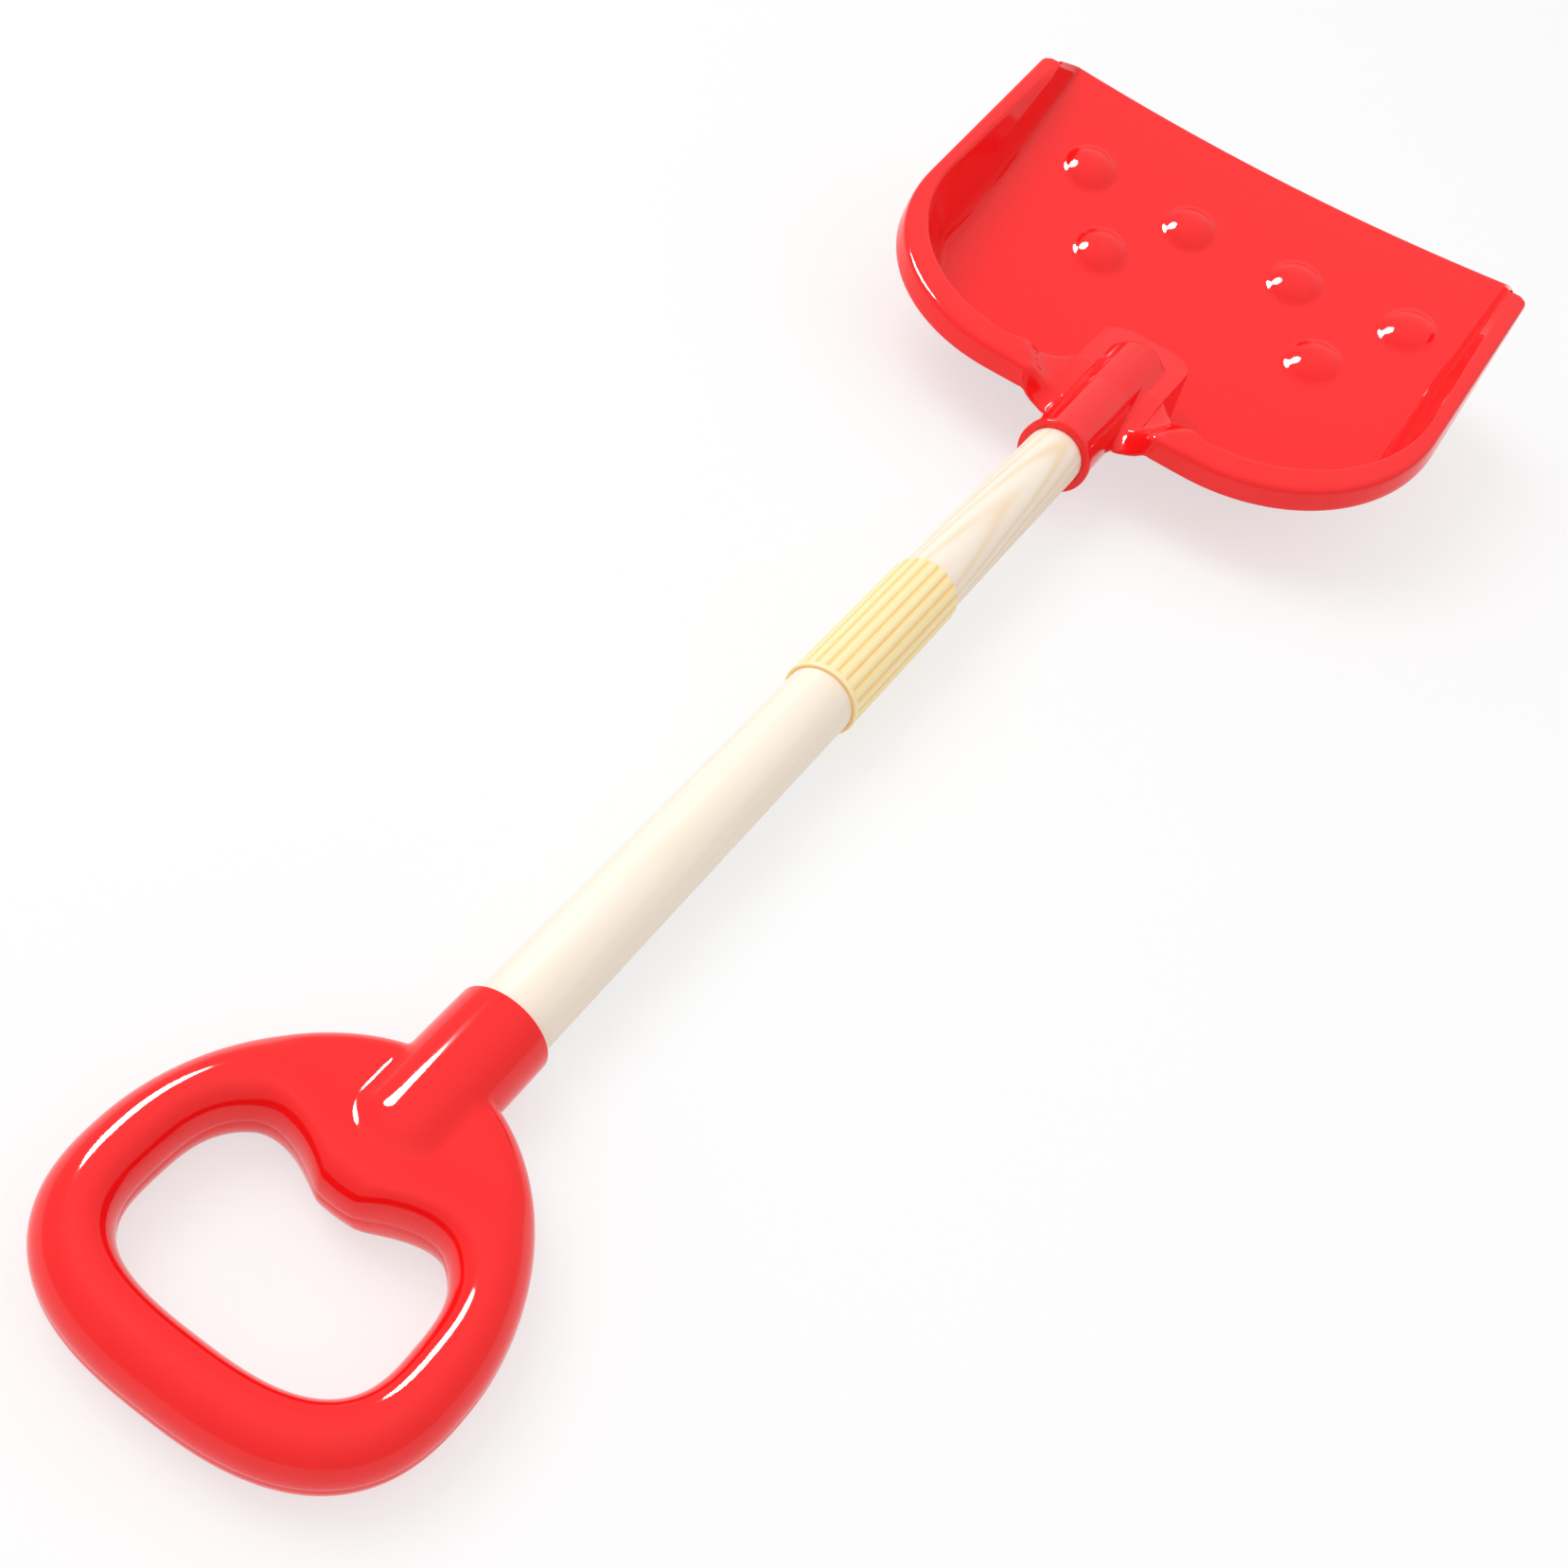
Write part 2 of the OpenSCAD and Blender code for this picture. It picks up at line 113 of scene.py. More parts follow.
class ShovelGrip(bpy.types.PropertyGroup):
    half_width: size("Half width", 58, "Half the width across the grip")
    length: size("Length", 131.5, "Length of the grip with its collar")
    middle: size("Middle", 86, "Distance from the collar's mouth to the widest line")
    shoulder: size("Shoulder", 19, "Distance from the mouth to where the shoulders would meet")
    bar: size("Bar", 19.2, "Width of the bar round the grip's opening")
    bar_half: size("Bar half thickness", 11.9, "Half thickness at the bar's crest")
    web_half: size("Web half thickness", 9.6, "Half thickness of the flat web")
    edge: size("Edge reach", 10.1, "Distance over which the outer edge rounds off")
    fall: size("Fall", 18, "Distance over which the bar falls to the web's level")
    fillet: size("Collar fillet", 3, "Radius of the fillet between the collar and the web")
    bulge: size("Bulge", 11.0, "Dip of the bulge between the opening's lobes, below their tops")
    bulge_half: size("Bulge half width", 30, "Half the width of that bulge")
    lobe_top: size("Lobe tops", 57.2, "Distance from the mouth to the lobe tops")
    wall: size("Wall", 2.2, "Wall thickness of the shells")
    seam: size("Seam", 0.22, "Depth of the parting groove")
    collar: size("Collar radius", 15, "Outer radius of the collar")
    collar_bore: size("Collar bore", 12.65, "Radius of the collar's bore")
    collar_length: size("Collar length", 43, "Distance from the mouth to the centre of its round end")


class ShovelBlade(bpy.types.PropertyGroup):
    half_width: size("Half width", 126.2, "Half the width across the rim")
    rim_start: size("Rim start", 391.5, "Back edge of the rim")
    lip: size("Lip", 609, "Middle of the front edge")
    lip_back: size("Lip corners", 5, "Distance from the lip back to its corners")
    tip_back: size("Rim tips", 23, "Distance from the lip corners back to the rim's tips")
    corner: size("Corner radius", 79, "Radius of the rim's back corners")
    tip_round: size("Tip rounding", 2.6, "Radius of the rim's front corners")
    rim_side: size("Rim at the sides", 6.4, "Width of the rim at the sides")
    rim_back: size("Rim at the back", 12.5, "Width of the rim at the back")
    rim_rise: size("Rim rise", 13.7, "Height of the rim's back edge above the axis")
    rim_tilt: FloatProperty(name="Rim slope", description="Slope of the rim", default=math.radians(11.2),
                            subtype="ANGLE")
    skirt: size("Skirt", 8.8, "Drop of the skirt below the rim")
    lean: size("Skirt lean", 1.7, "Outward lean of the skirt")
    flare: size("Flare", 1.5, "How much wider the rim is at its tips")
    lip_rise: size("Lip rise", 36.6, "Height of the lip's middle above the axis")
    floor_tilt: FloatProperty(name="Floor slope", description="Slope of the floor",
                              default=math.radians(22.65), subtype="ANGLE")
    sag: size("Sag", 9.8, "Rise of the floor from its middle to its sides")
    side_run: size("Side run", 14, "Run of the side walls")
    back_run: size("Back run", 51, "Run of the back wall")
    wall: size("Wall", 2, "Wall thickness")
    bump_radius: size("Bump radius", 13, "Radius of each bump")
    bump_height: size("Bump height", 5, "Height of each bump")
    bump_pitch: size("Bump pitch", 56.3, "Spacing of the bumps across the floor")
    bump_front: size("Front row", 49, "Distance from the lip to the front row of bumps")
    bump_gap: size("Row gap", 34.5, "Distance from the front row to the rear row")
    bump_shift: size("Bump shift", 4, "Sideways offset of the bump pattern")


class ShovelSocket(bpy.types.PropertyGroup):
    mouth: size("Mouth", 363, "Mouth of the socket tube")
    length: size("Length", 88, "Length of the tube")
    radius: size("Radius", 15, "Outer radius of the tube")
    bore: size("Bore", 12.65, "Radius of the tube's bore")
    ring: size("Ring", 3, "Length of the mouth ring")
    ring_lip: size("Ring lip", 1, "Height of the mouth ring")
    round: size("End rounding", 3, "Radius of the rounded closed end")
    pad_half: size("Pad half width", 21.5, "Half width of the raised pad")
    pad_front: size("Pad front", 15.5, "Distance from the tube's end to the pad's front")
    pad_corner: size("Pad corner", 13, "Radius of the pad's front corners")
    pad_rise: size("Pad rise", 8.3, "Height of the pad above the axis")
    dip: size("Deck dip", 11, "Dip of the deck beside the tube")
    dip_run: size("Dip run", 16, "Width over which the deck's outer edge dips")
    notch: size("Deck notch", 6, "Forward run of the deck's outer edge beside the tube")
    pull: size("Deck pull", 24, "Forward run of the deck's inner edge beside the tube")
    web_start: size("Web start", 34, "Distance from the axis where the skirt starts to sweep into the tube")
    web_run: size("Web run", 20, "Width over which the skirt sweeps back")
    web_reach: size("Web reach", 6, "How far back the sweep carries the skirt's lower edge")
    web_tail: size("Web tail", 7, "Further reach close to the tube's side")
    web_lift: size("Web lift", 4.2, "How much shorter the skirt is beside the tube")


class ShovelColours(bpy.types.PropertyGroup):
    red: tint("Red", (0.98, 0.008, 0.009), "Glossy moulded plastic")
    wood: tint("Wood", (0.95, 0.84, 0.72), "Pale sanded pine")
    grain: tint("Grain", (0.88, 0.68, 0.44), "Late-wood streaks in the pine")
    cream: tint("Cream", (1.0, 0.84, 0.47), "Pale yellow plastic of the sleeve")
    # Groove: painted shade, a darker orange between the sleeve's ribs
    groove: tint("Groove", (1.0, 0.62, 0.20), "Deeper colour between the ribs")
    floor: tint("Floor", (0.9, 0.9, 0.9), "Studio floor")


def settings():
    """The property groups on the scene."""
    return bpy.context.scene.shovel


class Shovel(bpy.types.PropertyGroup):
    shaft: PointerProperty(type=ShovelShaft)
    sleeve: PointerProperty(type=ShovelSleeve)
    grip: PointerProperty(type=ShovelGrip)
    blade: PointerProperty(type=ShovelBlade)
    socket: PointerProperty(type=ShovelSocket)
    colours: PointerProperty(type=ShovelColours)


# Grids and curves


def smooth_max(a, b, r):
    """The larger of two heights, blended by a quadratic over a difference of r."""
    h = np.maximum(r - np.abs(a - b), 0) / r
    return np.maximum(a, b) + h * h * r / 4


def smooth_min(a, b, r):
    """The smaller of two heights, blended in the same way."""
    return -smooth_max(-a, -b, r)


def smooth_step(u):
    """Cubic step from 0 to 1 over u from 0 to 1."""
    u = np.clip(u, 0, 1)
    return u * u * (3 - 2 * u)


def length(v):
    """Length of each vector, with its axis kept."""
    return np.linalg.norm(v, axis=-1, keepdims=True)


def unit(v):
    """Each vector at length 1."""
    return v / length(v)


def bend(first, corner, last, steps):
    """Quadratic curves from first to last that lean to corner, with their points along the middle axis."""
    t = np.linspace(0, 1, steps)[:, None]
    return (1 - t) ** 2 * first + 2 * t * (1 - t) * corner + t ** 2 * last


def quads(rows, columns, closed_rows=False, closed_columns=False, start=0):
    """Faces of a grid of points numbered row by row, turned so that rows x columns points outwards."""
    i = np.arange(rows if closed_rows else rows - 1)[:, None]
    j = np.arange(columns if closed_columns else columns - 1)[None, :]
    i2, j2 = (i + 1) % rows, (j + 1) % columns
    corners = [i * columns + j, i2 * columns + j, i2 * columns + j2, i * columns + j2]
    return np.stack([c + 0 * i + 0 * j for c in corners], -1).reshape(-1, 4) + start


def thick_sheet(upper, lower, lip_steps=4):
    """Points and faces of the shell between two matching grids, whose borders a half round joins."""
    rows, columns = upper.shape[:2]
    ring = np.concatenate([
        np.stack([np.zeros(columns - 1), np.arange(columns - 1)], 1),
        np.stack([np.arange(rows - 1), np.full(rows - 1, columns - 1)], 1),
        np.stack([np.full(columns - 1, rows - 1), np.arange(columns - 1, 0, -1)], 1),
        np.stack([np.arange(rows - 1, 0, -1), np.zeros(rows - 1)], 1)]).astype(int)
    a, b = upper[ring[:, 0], ring[:, 1]], lower[ring[:, 0], ring[:, 1]]
    tangent = np.roll(a, -1, 0) - np.roll(a, 1, 0)
    across = (a - b) / 2
    out = np.cross(tangent, across)
    inside = upper[np.clip(ring[:, 0], 1, rows - 2), np.clip(ring[:, 1], 1, columns - 2)]
    out *= np.sign(np.sum(out * (a - inside), -1, keepdims=True))
    out *= length(across) / np.maximum(length(out), TINY)
    turn = np.pi * np.arange(1, lip_steps) / lip_steps
    lips = (a + b) / 2 + np.cos(turn)[:, None, None] * across + np.sin(turn)[:, None, None] * out
    points = np.concatenate([upper.reshape(-1, 3), lower.reshape(-1, 3), lips.reshape(-1, 3)])
    count = rows * columns
    first = ring[:, 0] * columns + ring[:, 1]
    bands = [2 * count + k * len(ring) + np.arange(len(ring)) for k in range(lip_steps - 1)]
    chain = [first, *bands, count + first]
    faces = [quads(rows, columns), quads(rows, columns)[:, ::-1] + count]
    for here, there in zip(chain[:-1], chain[1:]):
        faces.append(np.stack([here, np.roll(here, -1), np.roll(there, -1), there], -1))
    return points, np.concatenate(faces)[:, ::normal_sign(upper)]


def grid_normals(grid):
    """Unit normals of a grid of points: the cross product of its row and column directions."""
    normals = np.cross(np.gradient(grid, axis=0), np.gradient(grid, axis=1))
    return normals / np.maximum(length(normals), TINY)


def normal_sign(grid):
    """1 if the grid's normals point up in its middle, else -1."""
    middle = grid_normals(grid)[2, grid.shape[1] // 2]
    return 1 if middle[2] > 0 else -1


def around(turn, radius, y):
    """Points about the Y axis: one row for each turn, at the given radius and y."""
    across, up = np.cos(turn)[:, None], np.sin(turn)[:, None]
    return np.stack([across * radius, np.broadcast_to(y, (len(turn), len(y))), up * radius], -1)


def revolve(profile, sides, half=False):
    """Turns a closed (radius, y) profile about the Y axis; half keeps z >= 0 only."""
    turn = np.linspace(0, np.pi, sides) if half else np.linspace(0, 2 * np.pi, sides, endpoint=False)
    return around(turn, profile[:, 0], profile[:, 1])


def rings(grid):
    """Faces of a turned, closed profile, which point outwards where y rises along its outer side."""
    return quads(*grid.shape[:2], True, True)[:, ::-1]


def rounded(corners, radii):
    """A closed (radius, y) profile whose corners are rounded by quadratic curves of the given reach."""
    corners = np.array(corners, float)
    before, after = np.roll(corners, 1, 0) - corners, np.roll(corners, -1, 0) - corners
    reach = np.array(radii, float)[:, None]
    first, last = corners + reach * unit(before), corners + reach * unit(after)
    return bend(first[:, None], corners[:, None], last[:, None], ROUND_STEPS).reshape(-1, 2)


def add_piece(name, points, faces, slot, material, replaced, sharp=40):
    """Makes a mesh object from points in the shovel's axes, rides it on the body and gives it its finish."""
    mesh = bpy.data.meshes.new(name)
    mesh.from_pydata(place(points.reshape(-1, 3)).tolist(), [], faces.tolist())
    mesh.update()
    mesh.shade_smooth()
    mesh.set_sharp_from_angle(angle=math.radians(sharp))
    piece = bpy.data.objects.new(name, mesh)
    bpy.context.scene.collection.objects.link(piece)
    piece.data.materials.append(material)
    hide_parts(*replaced)
    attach(piece, BODY)


# Shaft and sleeve

# Points round the dowel, and rows along it
SHAFT_TURNS = 128
SHAFT_ROWS = 60
# Points round each rib, rows along the ribs, and points of their rounded ends with the radius of these
RIB_POINTS = 22
RIB_ROWS = 30
RIB_END_POINTS = 7
RIB_END = 0.7 * MM
# Distance from the plain ring to the first row along the ribs; the last row stays twice that off the end
RIB_MARGIN = 1 * MM
# Plain ring: its rise above the ribs, the places and drops of its rounding, the lengths over which it starts
# and ends its fall to the ribs, and the share that is left between them
RING_RISE = 0.15 * MM
RING_ROUND = (0.15 * MM, 0.4 * MM)
RING_DROPS = (0.35 * MM, 0.1 * MM)
RING_EDGES = (0.35 * MM, 0.45 * MM)
RING_FADE = 0.7
# The sleeve's least wall
LEAST_WALL = 0.1 * MM


def shaft_profile(s):
    """Profile of the dowel: a long box with rounded ends, and extra rows along its outer side."""
    corners = [(AXIS, s.end), (AXIS, s.start), (s.radius, s.start), (s.radius, s.end)]
    profile = rounded(corners, [AXIS / 2, AXIS / 2, s.chamfer, s.chamfer])
    rows = np.linspace(s.start + 2 * s.chamfer, s.end - 2 * s.chamfer, SHAFT_ROWS)
    wall = np.stack([np.full(SHAFT_ROWS, s.radius), rows], 1)
    last = 3 * ROUND_STEPS
    return np.concatenate([profile[:last], wall, profile[last:]])


def sleeve_grid(s):
    """Ribbed tube: each rib is an arc about a centre inside its crest, and a plain ring starts the tube."""
    pitch = 2 * np.pi / s.ribs
    turn = np.linspace(0, 2 * np.pi, s.ribs * RIB_POINTS, endpoint=False)
    off = (turn + pitch / 2) % pitch - pitch / 2
    centre = s.crest - s.rib
    scallop = centre * np.cos(off) + np.sqrt(s.rib ** 2 - (centre * np.sin(off)) ** 2)
    # Stations along the plain ring: place, drop of its rounded end, and share of the plain round
    start, end = s.ring - RING_EDGES[0], s.ring + RING_EDGES[1]
    stations = [(0, RING_DROPS[0], 1), (RING_ROUND[0], RING_DROPS[1], 1), (RING_ROUND[1], 0, 1),
                (start, 0, 1), (s.ring, 0, RING_FADE), (end, 0, 0)]
    ring_y, ring_drop, share = np.array(stations).T
    rib_y = np.linspace(end + RIB_MARGIN, s.length - 2 * RIB_MARGIN, RIB_ROWS)
    a = np.linspace(0, np.pi / 2, RIB_END_POINTS)
    end_y, end_drop = s.length - RIB_END * (1 - np.sin(a)), RIB_END * (1 - np.cos(a))
    plain = np.concatenate([share, 0 * rib_y, 0 * a])
    drop = np.concatenate([ring_drop, 0 * rib_y, end_drop])
    skin = scallop[:, None] * (1 - plain) + (s.crest + RING_RISE) * plain - drop
    bore_y = np.array([s.length, s.length / 2, 0])
    bore = np.full((len(turn), len(bore_y)), s.bore)
    radius = np.concatenate([np.maximum(skin, s.bore + LEAST_WALL), bore], 1)
    return around(turn, radius, s.start + np.concatenate([ring_y, rib_y, end_y, bore_y]))


# Scoop

# Share of the wall that the half round adds beyond the sheet's border
BORDER = 0.65
# Share of the back wall's run that falls evenly; the rest rounds into the floor
COVE = 0.45
# The same share below the side walls' crease
SIDE_COVE = 0.35
# The crease's shares of the side wall's run, of its fall and of its columns
CREASE_RUN = 0.41
CREASE_FALL = 0.79
CREASE_COLUMNS = 0.4
# The crease deepens from this far behind the lip, over a further length, and keeps a least share before it
CREASE_START = 29 * MM
CREASE_GROWTH = 104 * MM
CREASE_LEAST = 0.02
# Share of the side walls' run that is left at the tips, and of the flare that the rim's inner edge follows
TIP_RUN = 0.5
INNER_FLARE = 0.7
# Reach of the rounded outer and inner edges of the rim, and the most of the rim's width that each may take
OUTER_ROUND = 2.6 * MM
INNER_ROUND = 2.2 * MM
ROOM_SHARE = 0.4
# Fillets of the tube and the pad, round the bumps, and between the dipped deck and the pad's level
FILLET = 2.5 * MM
BUMP_FILLET = 1.4 * MM
DECK_FILLET = 3 * MM
# Strip beside and below the tube that its fillet may lift
FILLET_STRIP = 2 * MM
# How much wider the deck's dip grows, and over what further width it rises, for each step forward
DIP_SPREAD = 0.8
DIP_SOFTEN = 0.7
# Distance from the axis where the deck starts to run forward, and the width over which it does
PULL_HALF = 50 * MM
PULL_RUN = 29.2 * MM
# The skirt's tail sets in this far outside the tube's side, over this width; the notch is full this far out
TAIL_OFFSET = 1.5 * MM
TAIL_WIDTH = 2 * MM
NOTCH_OFFSET = 1 * MM
# Rows along the side before, beside and behind the bumps, round the corner, and along the back far from and
# near the tube; the rows beside the bumps reach a margin past the bumps' middles
SIDE_ROWS = (4, 62, 18)
CORNER_ROWS = 32
BACK_ROWS = (12, 34)
BUMP_MARGIN = 16 * MM
# Columns of the skirt, each rounded edge, the rim, the wall and half of the floor
SKIRT_COLUMNS = 5
EDGE_COLUMNS = 7
RIM_COLUMNS = 6
WALL_COLUMNS = 31
FLOOR_COLUMNS = 97


def bump_places(b):
    """Middle of each bump: four in the front row and two behind."""
    row, column = np.array([[0, -1.5], [0, -0.5], [0, 0.5], [0, 1.5], [1, -1], [1, 1]]).T
    return column * b.bump_pitch + b.bump_shift, b.lip - b.bump_front - row * b.bump_gap


def floor_height(b, x, y):
    """Sloping plane that rises to the sides with the square of x."""
    return b.lip_rise + (y - b.lip) * math.tan(b.floor_tilt) + b.sag * (x / (b.half_width - b.rim_side)) ** 2


def rim_height(b, y):
    """The rim's sloping plane."""
    return b.rim_rise + (y - b.rim_start) * math.tan(b.rim_tilt)


def deck_height(b, s, x, y):
    """The rim's plane, dipped by a cubic step beside the tube and held down to the pad's level in front."""
    behind = np.minimum(y - b.rim_start, s.pull + b.rim_back)
    edge = 2 * s.radius + DIP_SPREAD * behind
    near = smooth_step((edge - np.abs(x)) / (s.dip_run + DIP_SOFTEN * behind)) + 0 * y
    dipped = rim_height(b, y) - s.dip * near
    return dipped + (smooth_min(dipped, s.pad_rise + 0 * dipped, DECK_FILLET) - dipped) * near


def tube_height(s, x, y):
    """Top of the tube with its rounded end; far below where there is none."""
    end = s.mouth + s.length
    past = np.clip(y - (end - s.round), 0, s.round)
    radius = s.radius - s.round + np.sqrt(s.round ** 2 - past ** 2)
    inside = np.maximum(radius ** 2 - x ** 2, 0)
    return np.where(y < end, np.sqrt(inside), -s.radius)


def edge_rows(b, s):
    """Outer edge, inner edge, outward direction, wall run, forward lean and back share for each half row."""
    corner = b.lip - b.lip_back - BORDER * b.wall
    tip = corner - b.tip_back
    outer_y, inner_r = b.rim_start + b.corner, b.corner - b.rim_side / 2
    inner_half, inner_y = b.half_width - b.rim_side, b.rim_start + b.rim_back + inner_r
    bumps_end = b.lip - b.bump_front + BUMP_MARGIN
    bumps_start = b.lip - b.bump_front - b.bump_gap - BUMP_MARGIN
    stops = (tip, bumps_end, bumps_start, outer_y)
    side_y = np.concatenate([np.linspace(*ends, n)[:-1] for *ends, n in zip(stops, stops[1:], SIDE_ROWS)])
    u = (side_y - tip) / (outer_y - tip)
    lean = (1 - u) * b.tip_back
    cut = np.clip(b.tip_round - (tip - side_y), 0, b.tip_round)
    rounding = b.tip_round - np.sqrt(b.tip_round ** 2 - cut ** 2)
    flare = b.flare * (1 - u)
    side = dict(xo=b.half_width + flare - rounding, yo=side_y, xi=inner_half + INNER_FLARE * flare,
                yi=corner - lean + (inner_y - corner) * u, dx=1 + 0 * u, dy=0 * u,
                run=b.side_run * (TIP_RUN + (1 - TIP_RUN) * u), lean=lean, back=0 * u)
    a = np.linspace(0, np.pi / 2, CORNER_ROWS)[:-1]
    turn = dict(xo=b.half_width - b.corner + b.corner * np.cos(a), yo=outer_y - b.corner * np.sin(a),
                xi=inner_half - inner_r + inner_r * np.cos(a), yi=inner_y - inner_r * np.sin(a),
                dx=np.cos(a), dy=-np.sin(a), run=b.side_run + (b.back_run - b.side_run) * np.sin(a),
                lean=0 * a, back=np.sin(a) ** 2)
    x = np.concatenate([np.linspace(1, 0.5, BACK_ROWS[0])[:-1], np.linspace(0.5, 0, BACK_ROWS[1])])
    x = x * (inner_half - inner_r)
    pull = deck_pull(s, x)
    notch = s.notch * smooth_step((2 * s.radius - x) / (s.radius - NOTCH_OFFSET))
    back = dict(xo=x * (b.half_width - b.corner) / (inner_half - inner_r), yo=b.rim_start + notch,
                xi=x, yi=b.rim_start + b.rim_back + pull, dx=0 * x, dy=-1 + 0 * x,
                run=b.back_run - pull, lean=0 * x, back=1 + 0 * x)
    return {k: np.concatenate([side[k], turn[k], back[k]])[:, None] for k in side}


def cove(a, even):
    """Run of a hollow wall at angle a of its quarter turn: a share that falls evenly, the rest a round."""
    return even * np.sin(a) + (1 - even) * (1 - np.cos(a))


def wall_profile(b, q, yi, back):
    """Run and fall of the wall over q from 0 to 1: a cove at the back, a crease above a cove at the sides."""
    a = q * np.pi / 2
    depth = CREASE_FALL * np.clip((b.lip - CREASE_START - yi) / CREASE_GROWTH, CREASE_LEAST, 1)
    first = np.clip(q / CREASE_COLUMNS, 0, 1)
    c = np.clip((q - CREASE_COLUMNS) / (1 - CREASE_COLUMNS), 0, 1) * np.pi / 2
    run = CREASE_RUN * first + (1 - CREASE_RUN) * cove(c, SIDE_COVE)
    fall = depth * first + (1 - depth) * np.sin(c)
    return run * (1 - back) + cove(a, COVE) * back, fall * (1 - back) + np.sin(a) * back


def scoop_face(b, s):
    """Upper face of the scoop: rows run up the skirt, over the rim, down the wall and across the floor."""
    e = edge_rows(b, s)
    rows = len(e["xo"])
    deck = lambda x, y: deck_height(b, s, x, y)
    sweep = smooth_step((s.web_start - e["xo"]) / s.web_run) * e["back"]
    tail = smooth_step((s.radius + TAIL_OFFSET - e["xo"]) / TAIL_WIDTH) * e["back"]
    wider = np.clip((e["xo"] - b.half_width) / b.flare, 0, 1) * b.flare
    reach = b.lean - wider + s.web_reach * sweep + s.web_tail * tail
    top_o, top_i = deck(e["xo"], e["yo"]), deck(e["xi"], e["yi"])
    corner_o = np.concatenate([e["xo"], e["yo"], top_o], 1)[:, None]
    corner_i = np.concatenate([e["xi"], e["yi"], top_i], 1)[:, None]
    foot = np.concatenate([e["xo"] + reach * e["dx"], e["yo"] + reach * e["dy"],
                           top_o - b.skirt + s.web_lift * sweep], 1)[:, None]
    room = ROOM_SHARE * length(corner_i - corner_o)
    round_o, round_i = np.minimum(OUTER_ROUND, room), np.minimum(INNER_ROUND, room)
    k = np.linspace(0, 1, SKIRT_COLUMNS)[None, :-1, None]
    start_o = corner_o + round_o * unit(foot - corner_o)
    skirt = foot + (start_o - foot) * k
    along = unit(corner_i - corner_o)
    outer = bend(start_o, corner_o, corner_o + round_o * along, EDGE_COLUMNS)
    w = np.linspace(0, 1, RIM_COLUMNS)[None, 1:-1, None]
    flat_a, flat_b = corner_o + round_o * along, corner_i - round_i * along
    flat = flat_a + (flat_b - flat_a) * w
    flat = np.concatenate([flat[..., :2], deck(flat[..., 0], flat[..., 1])[..., None]], -1)
    run, fall = wall_profile(b, np.linspace(0, 1, WALL_COLUMNS)[None], e["yi"], e["back"])
    fx, fy = e["xi"] - e["run"] * e["dx"], e["yi"] - e["run"] * e["dy"] + e["lean"]
    drop = top_i - floor_height(b, fx, fy)
    wall = np.stack([e["xi"] - run * e["run"] * e["dx"],
                     e["yi"] - run * e["run"] * e["dy"] + e["lean"] * fall, top_i - drop * fall], -1)
    inner = bend(flat_b, corner_i, wall[:, 2:3], EDGE_COLUMNS)
    # The floor's rows close in on the middle line
    lip = b.lip - BORDER * b.wall
    rear = b.rim_start + b.rim_back + b.corner - b.rim_side / 2
    middle = np.linspace(lip, rear, rows)[:, None]
    u = 1 - np.linspace(0, 1, FLOOR_COLUMNS)[None, 1:]
    x = fx * u
    y = middle + (fy - middle) * u * u
    floor = np.stack([x, y, floor_height(b, x, y)], -1)
    half = np.concatenate([skirt, outer, flat, inner, wall[:, 3:], floor], 1)
    mirror = half[:, -2::-1] * np.array([-1, 1, 1])
    grid = np.concatenate([half, mirror], 1)
    return add_bumps(b, add_tube_fillet(s, grid))


def add_bumps(b, grid):
    """Raises the floor square to itself by a spherical cap at each bump, with a small fillet round it."""
    ball = (b.bump_radius ** 2 + b.bump_height ** 2) / (2 * b.bump_height)
    rise = np.zeros(grid.shape[:2])
    for x, y in zip(*bump_places(b)):
        away = np.hypot(grid[..., 0] - x, (grid[..., 1] - y) / math.cos(b.floor_tilt))
        cap = np.sqrt(np.maximum(ball ** 2 - away ** 2, 0)) - (ball - b.bump_height)
        rise = np.maximum(rise, smooth_max(np.where(away < ball, cap, -ball), 0 * away, BUMP_FILLET))
    up = np.array([0, -math.sin(b.floor_tilt), math.cos(b.floor_tilt)])
    return grid + rise[..., None] * up


def add_tube_fillet(s, grid):
    """Lifts the deck where the tube comes up through it, with a fillet on both sides."""
    x, y, z = grid[..., 0], grid[..., 1], grid[..., 2]
    lifted = smooth_max(z, tube_height(s, x, y) - SINK, FILLET)
    inside = (np.abs(x) < s.radius + FILLET_STRIP) & (z > -FILLET_STRIP) & (y < s.mouth + s.length)
    return np.stack([x, y, np.where(inside, lifted, z)], -1)


# Points round the tube, rounding of its mouth, and rounding of the corners that stay sharp
TUBE_TURNS = 160
MOUTH_ROUND = 0.4 * MM
KEEN = 0.01 * MOUTH_ROUND
# The pad: its start past the rim's back edge, its wall's depth and draft, the strip past the wall's foot, and
# the length over which its rear end fades
PAD_START = 8 * MM
PAD_DEPTH = 42 * MM
PAD_DRAFT = 3 * MM
PAD_STRIP = 4 * MM
PAD_FADE = 14 * MM
# How far the pad stands above the forms that it blends, and how much it sinks at its rear end
PAD_CLEAR = 0.12 * MM
PAD_REAR_SINK = 0.45 * MM
# Lines along the pad's side, round its corner and across half of its front, and columns of its top, its wall
# and the strip
PAD_LINES = (60, 25, 14)
PAD_COLUMNS = (60, 34, 8)


def tube_profile(s):
    """Profile of the tube: bore, mouth ring, outer wall and rounded closed end, turned about the axis."""
    end, outer = s.mouth + s.length, s.radius + s.ring_lip
    corners = [(AXIS, end - s.round), (s.bore, end - s.round), (s.bore, s.mouth), (outer, s.mouth),
               (outer, s.mouth + s.ring), (s.radius, s.mouth + s.ring), (s.radius, end), (AXIS, end)]
    lip, ring = MOUTH_ROUND, 2 * MOUTH_ROUND
    return rounded(corners, [KEEN, KEEN, lip, ring, ring, lip, s.round, KEEN])


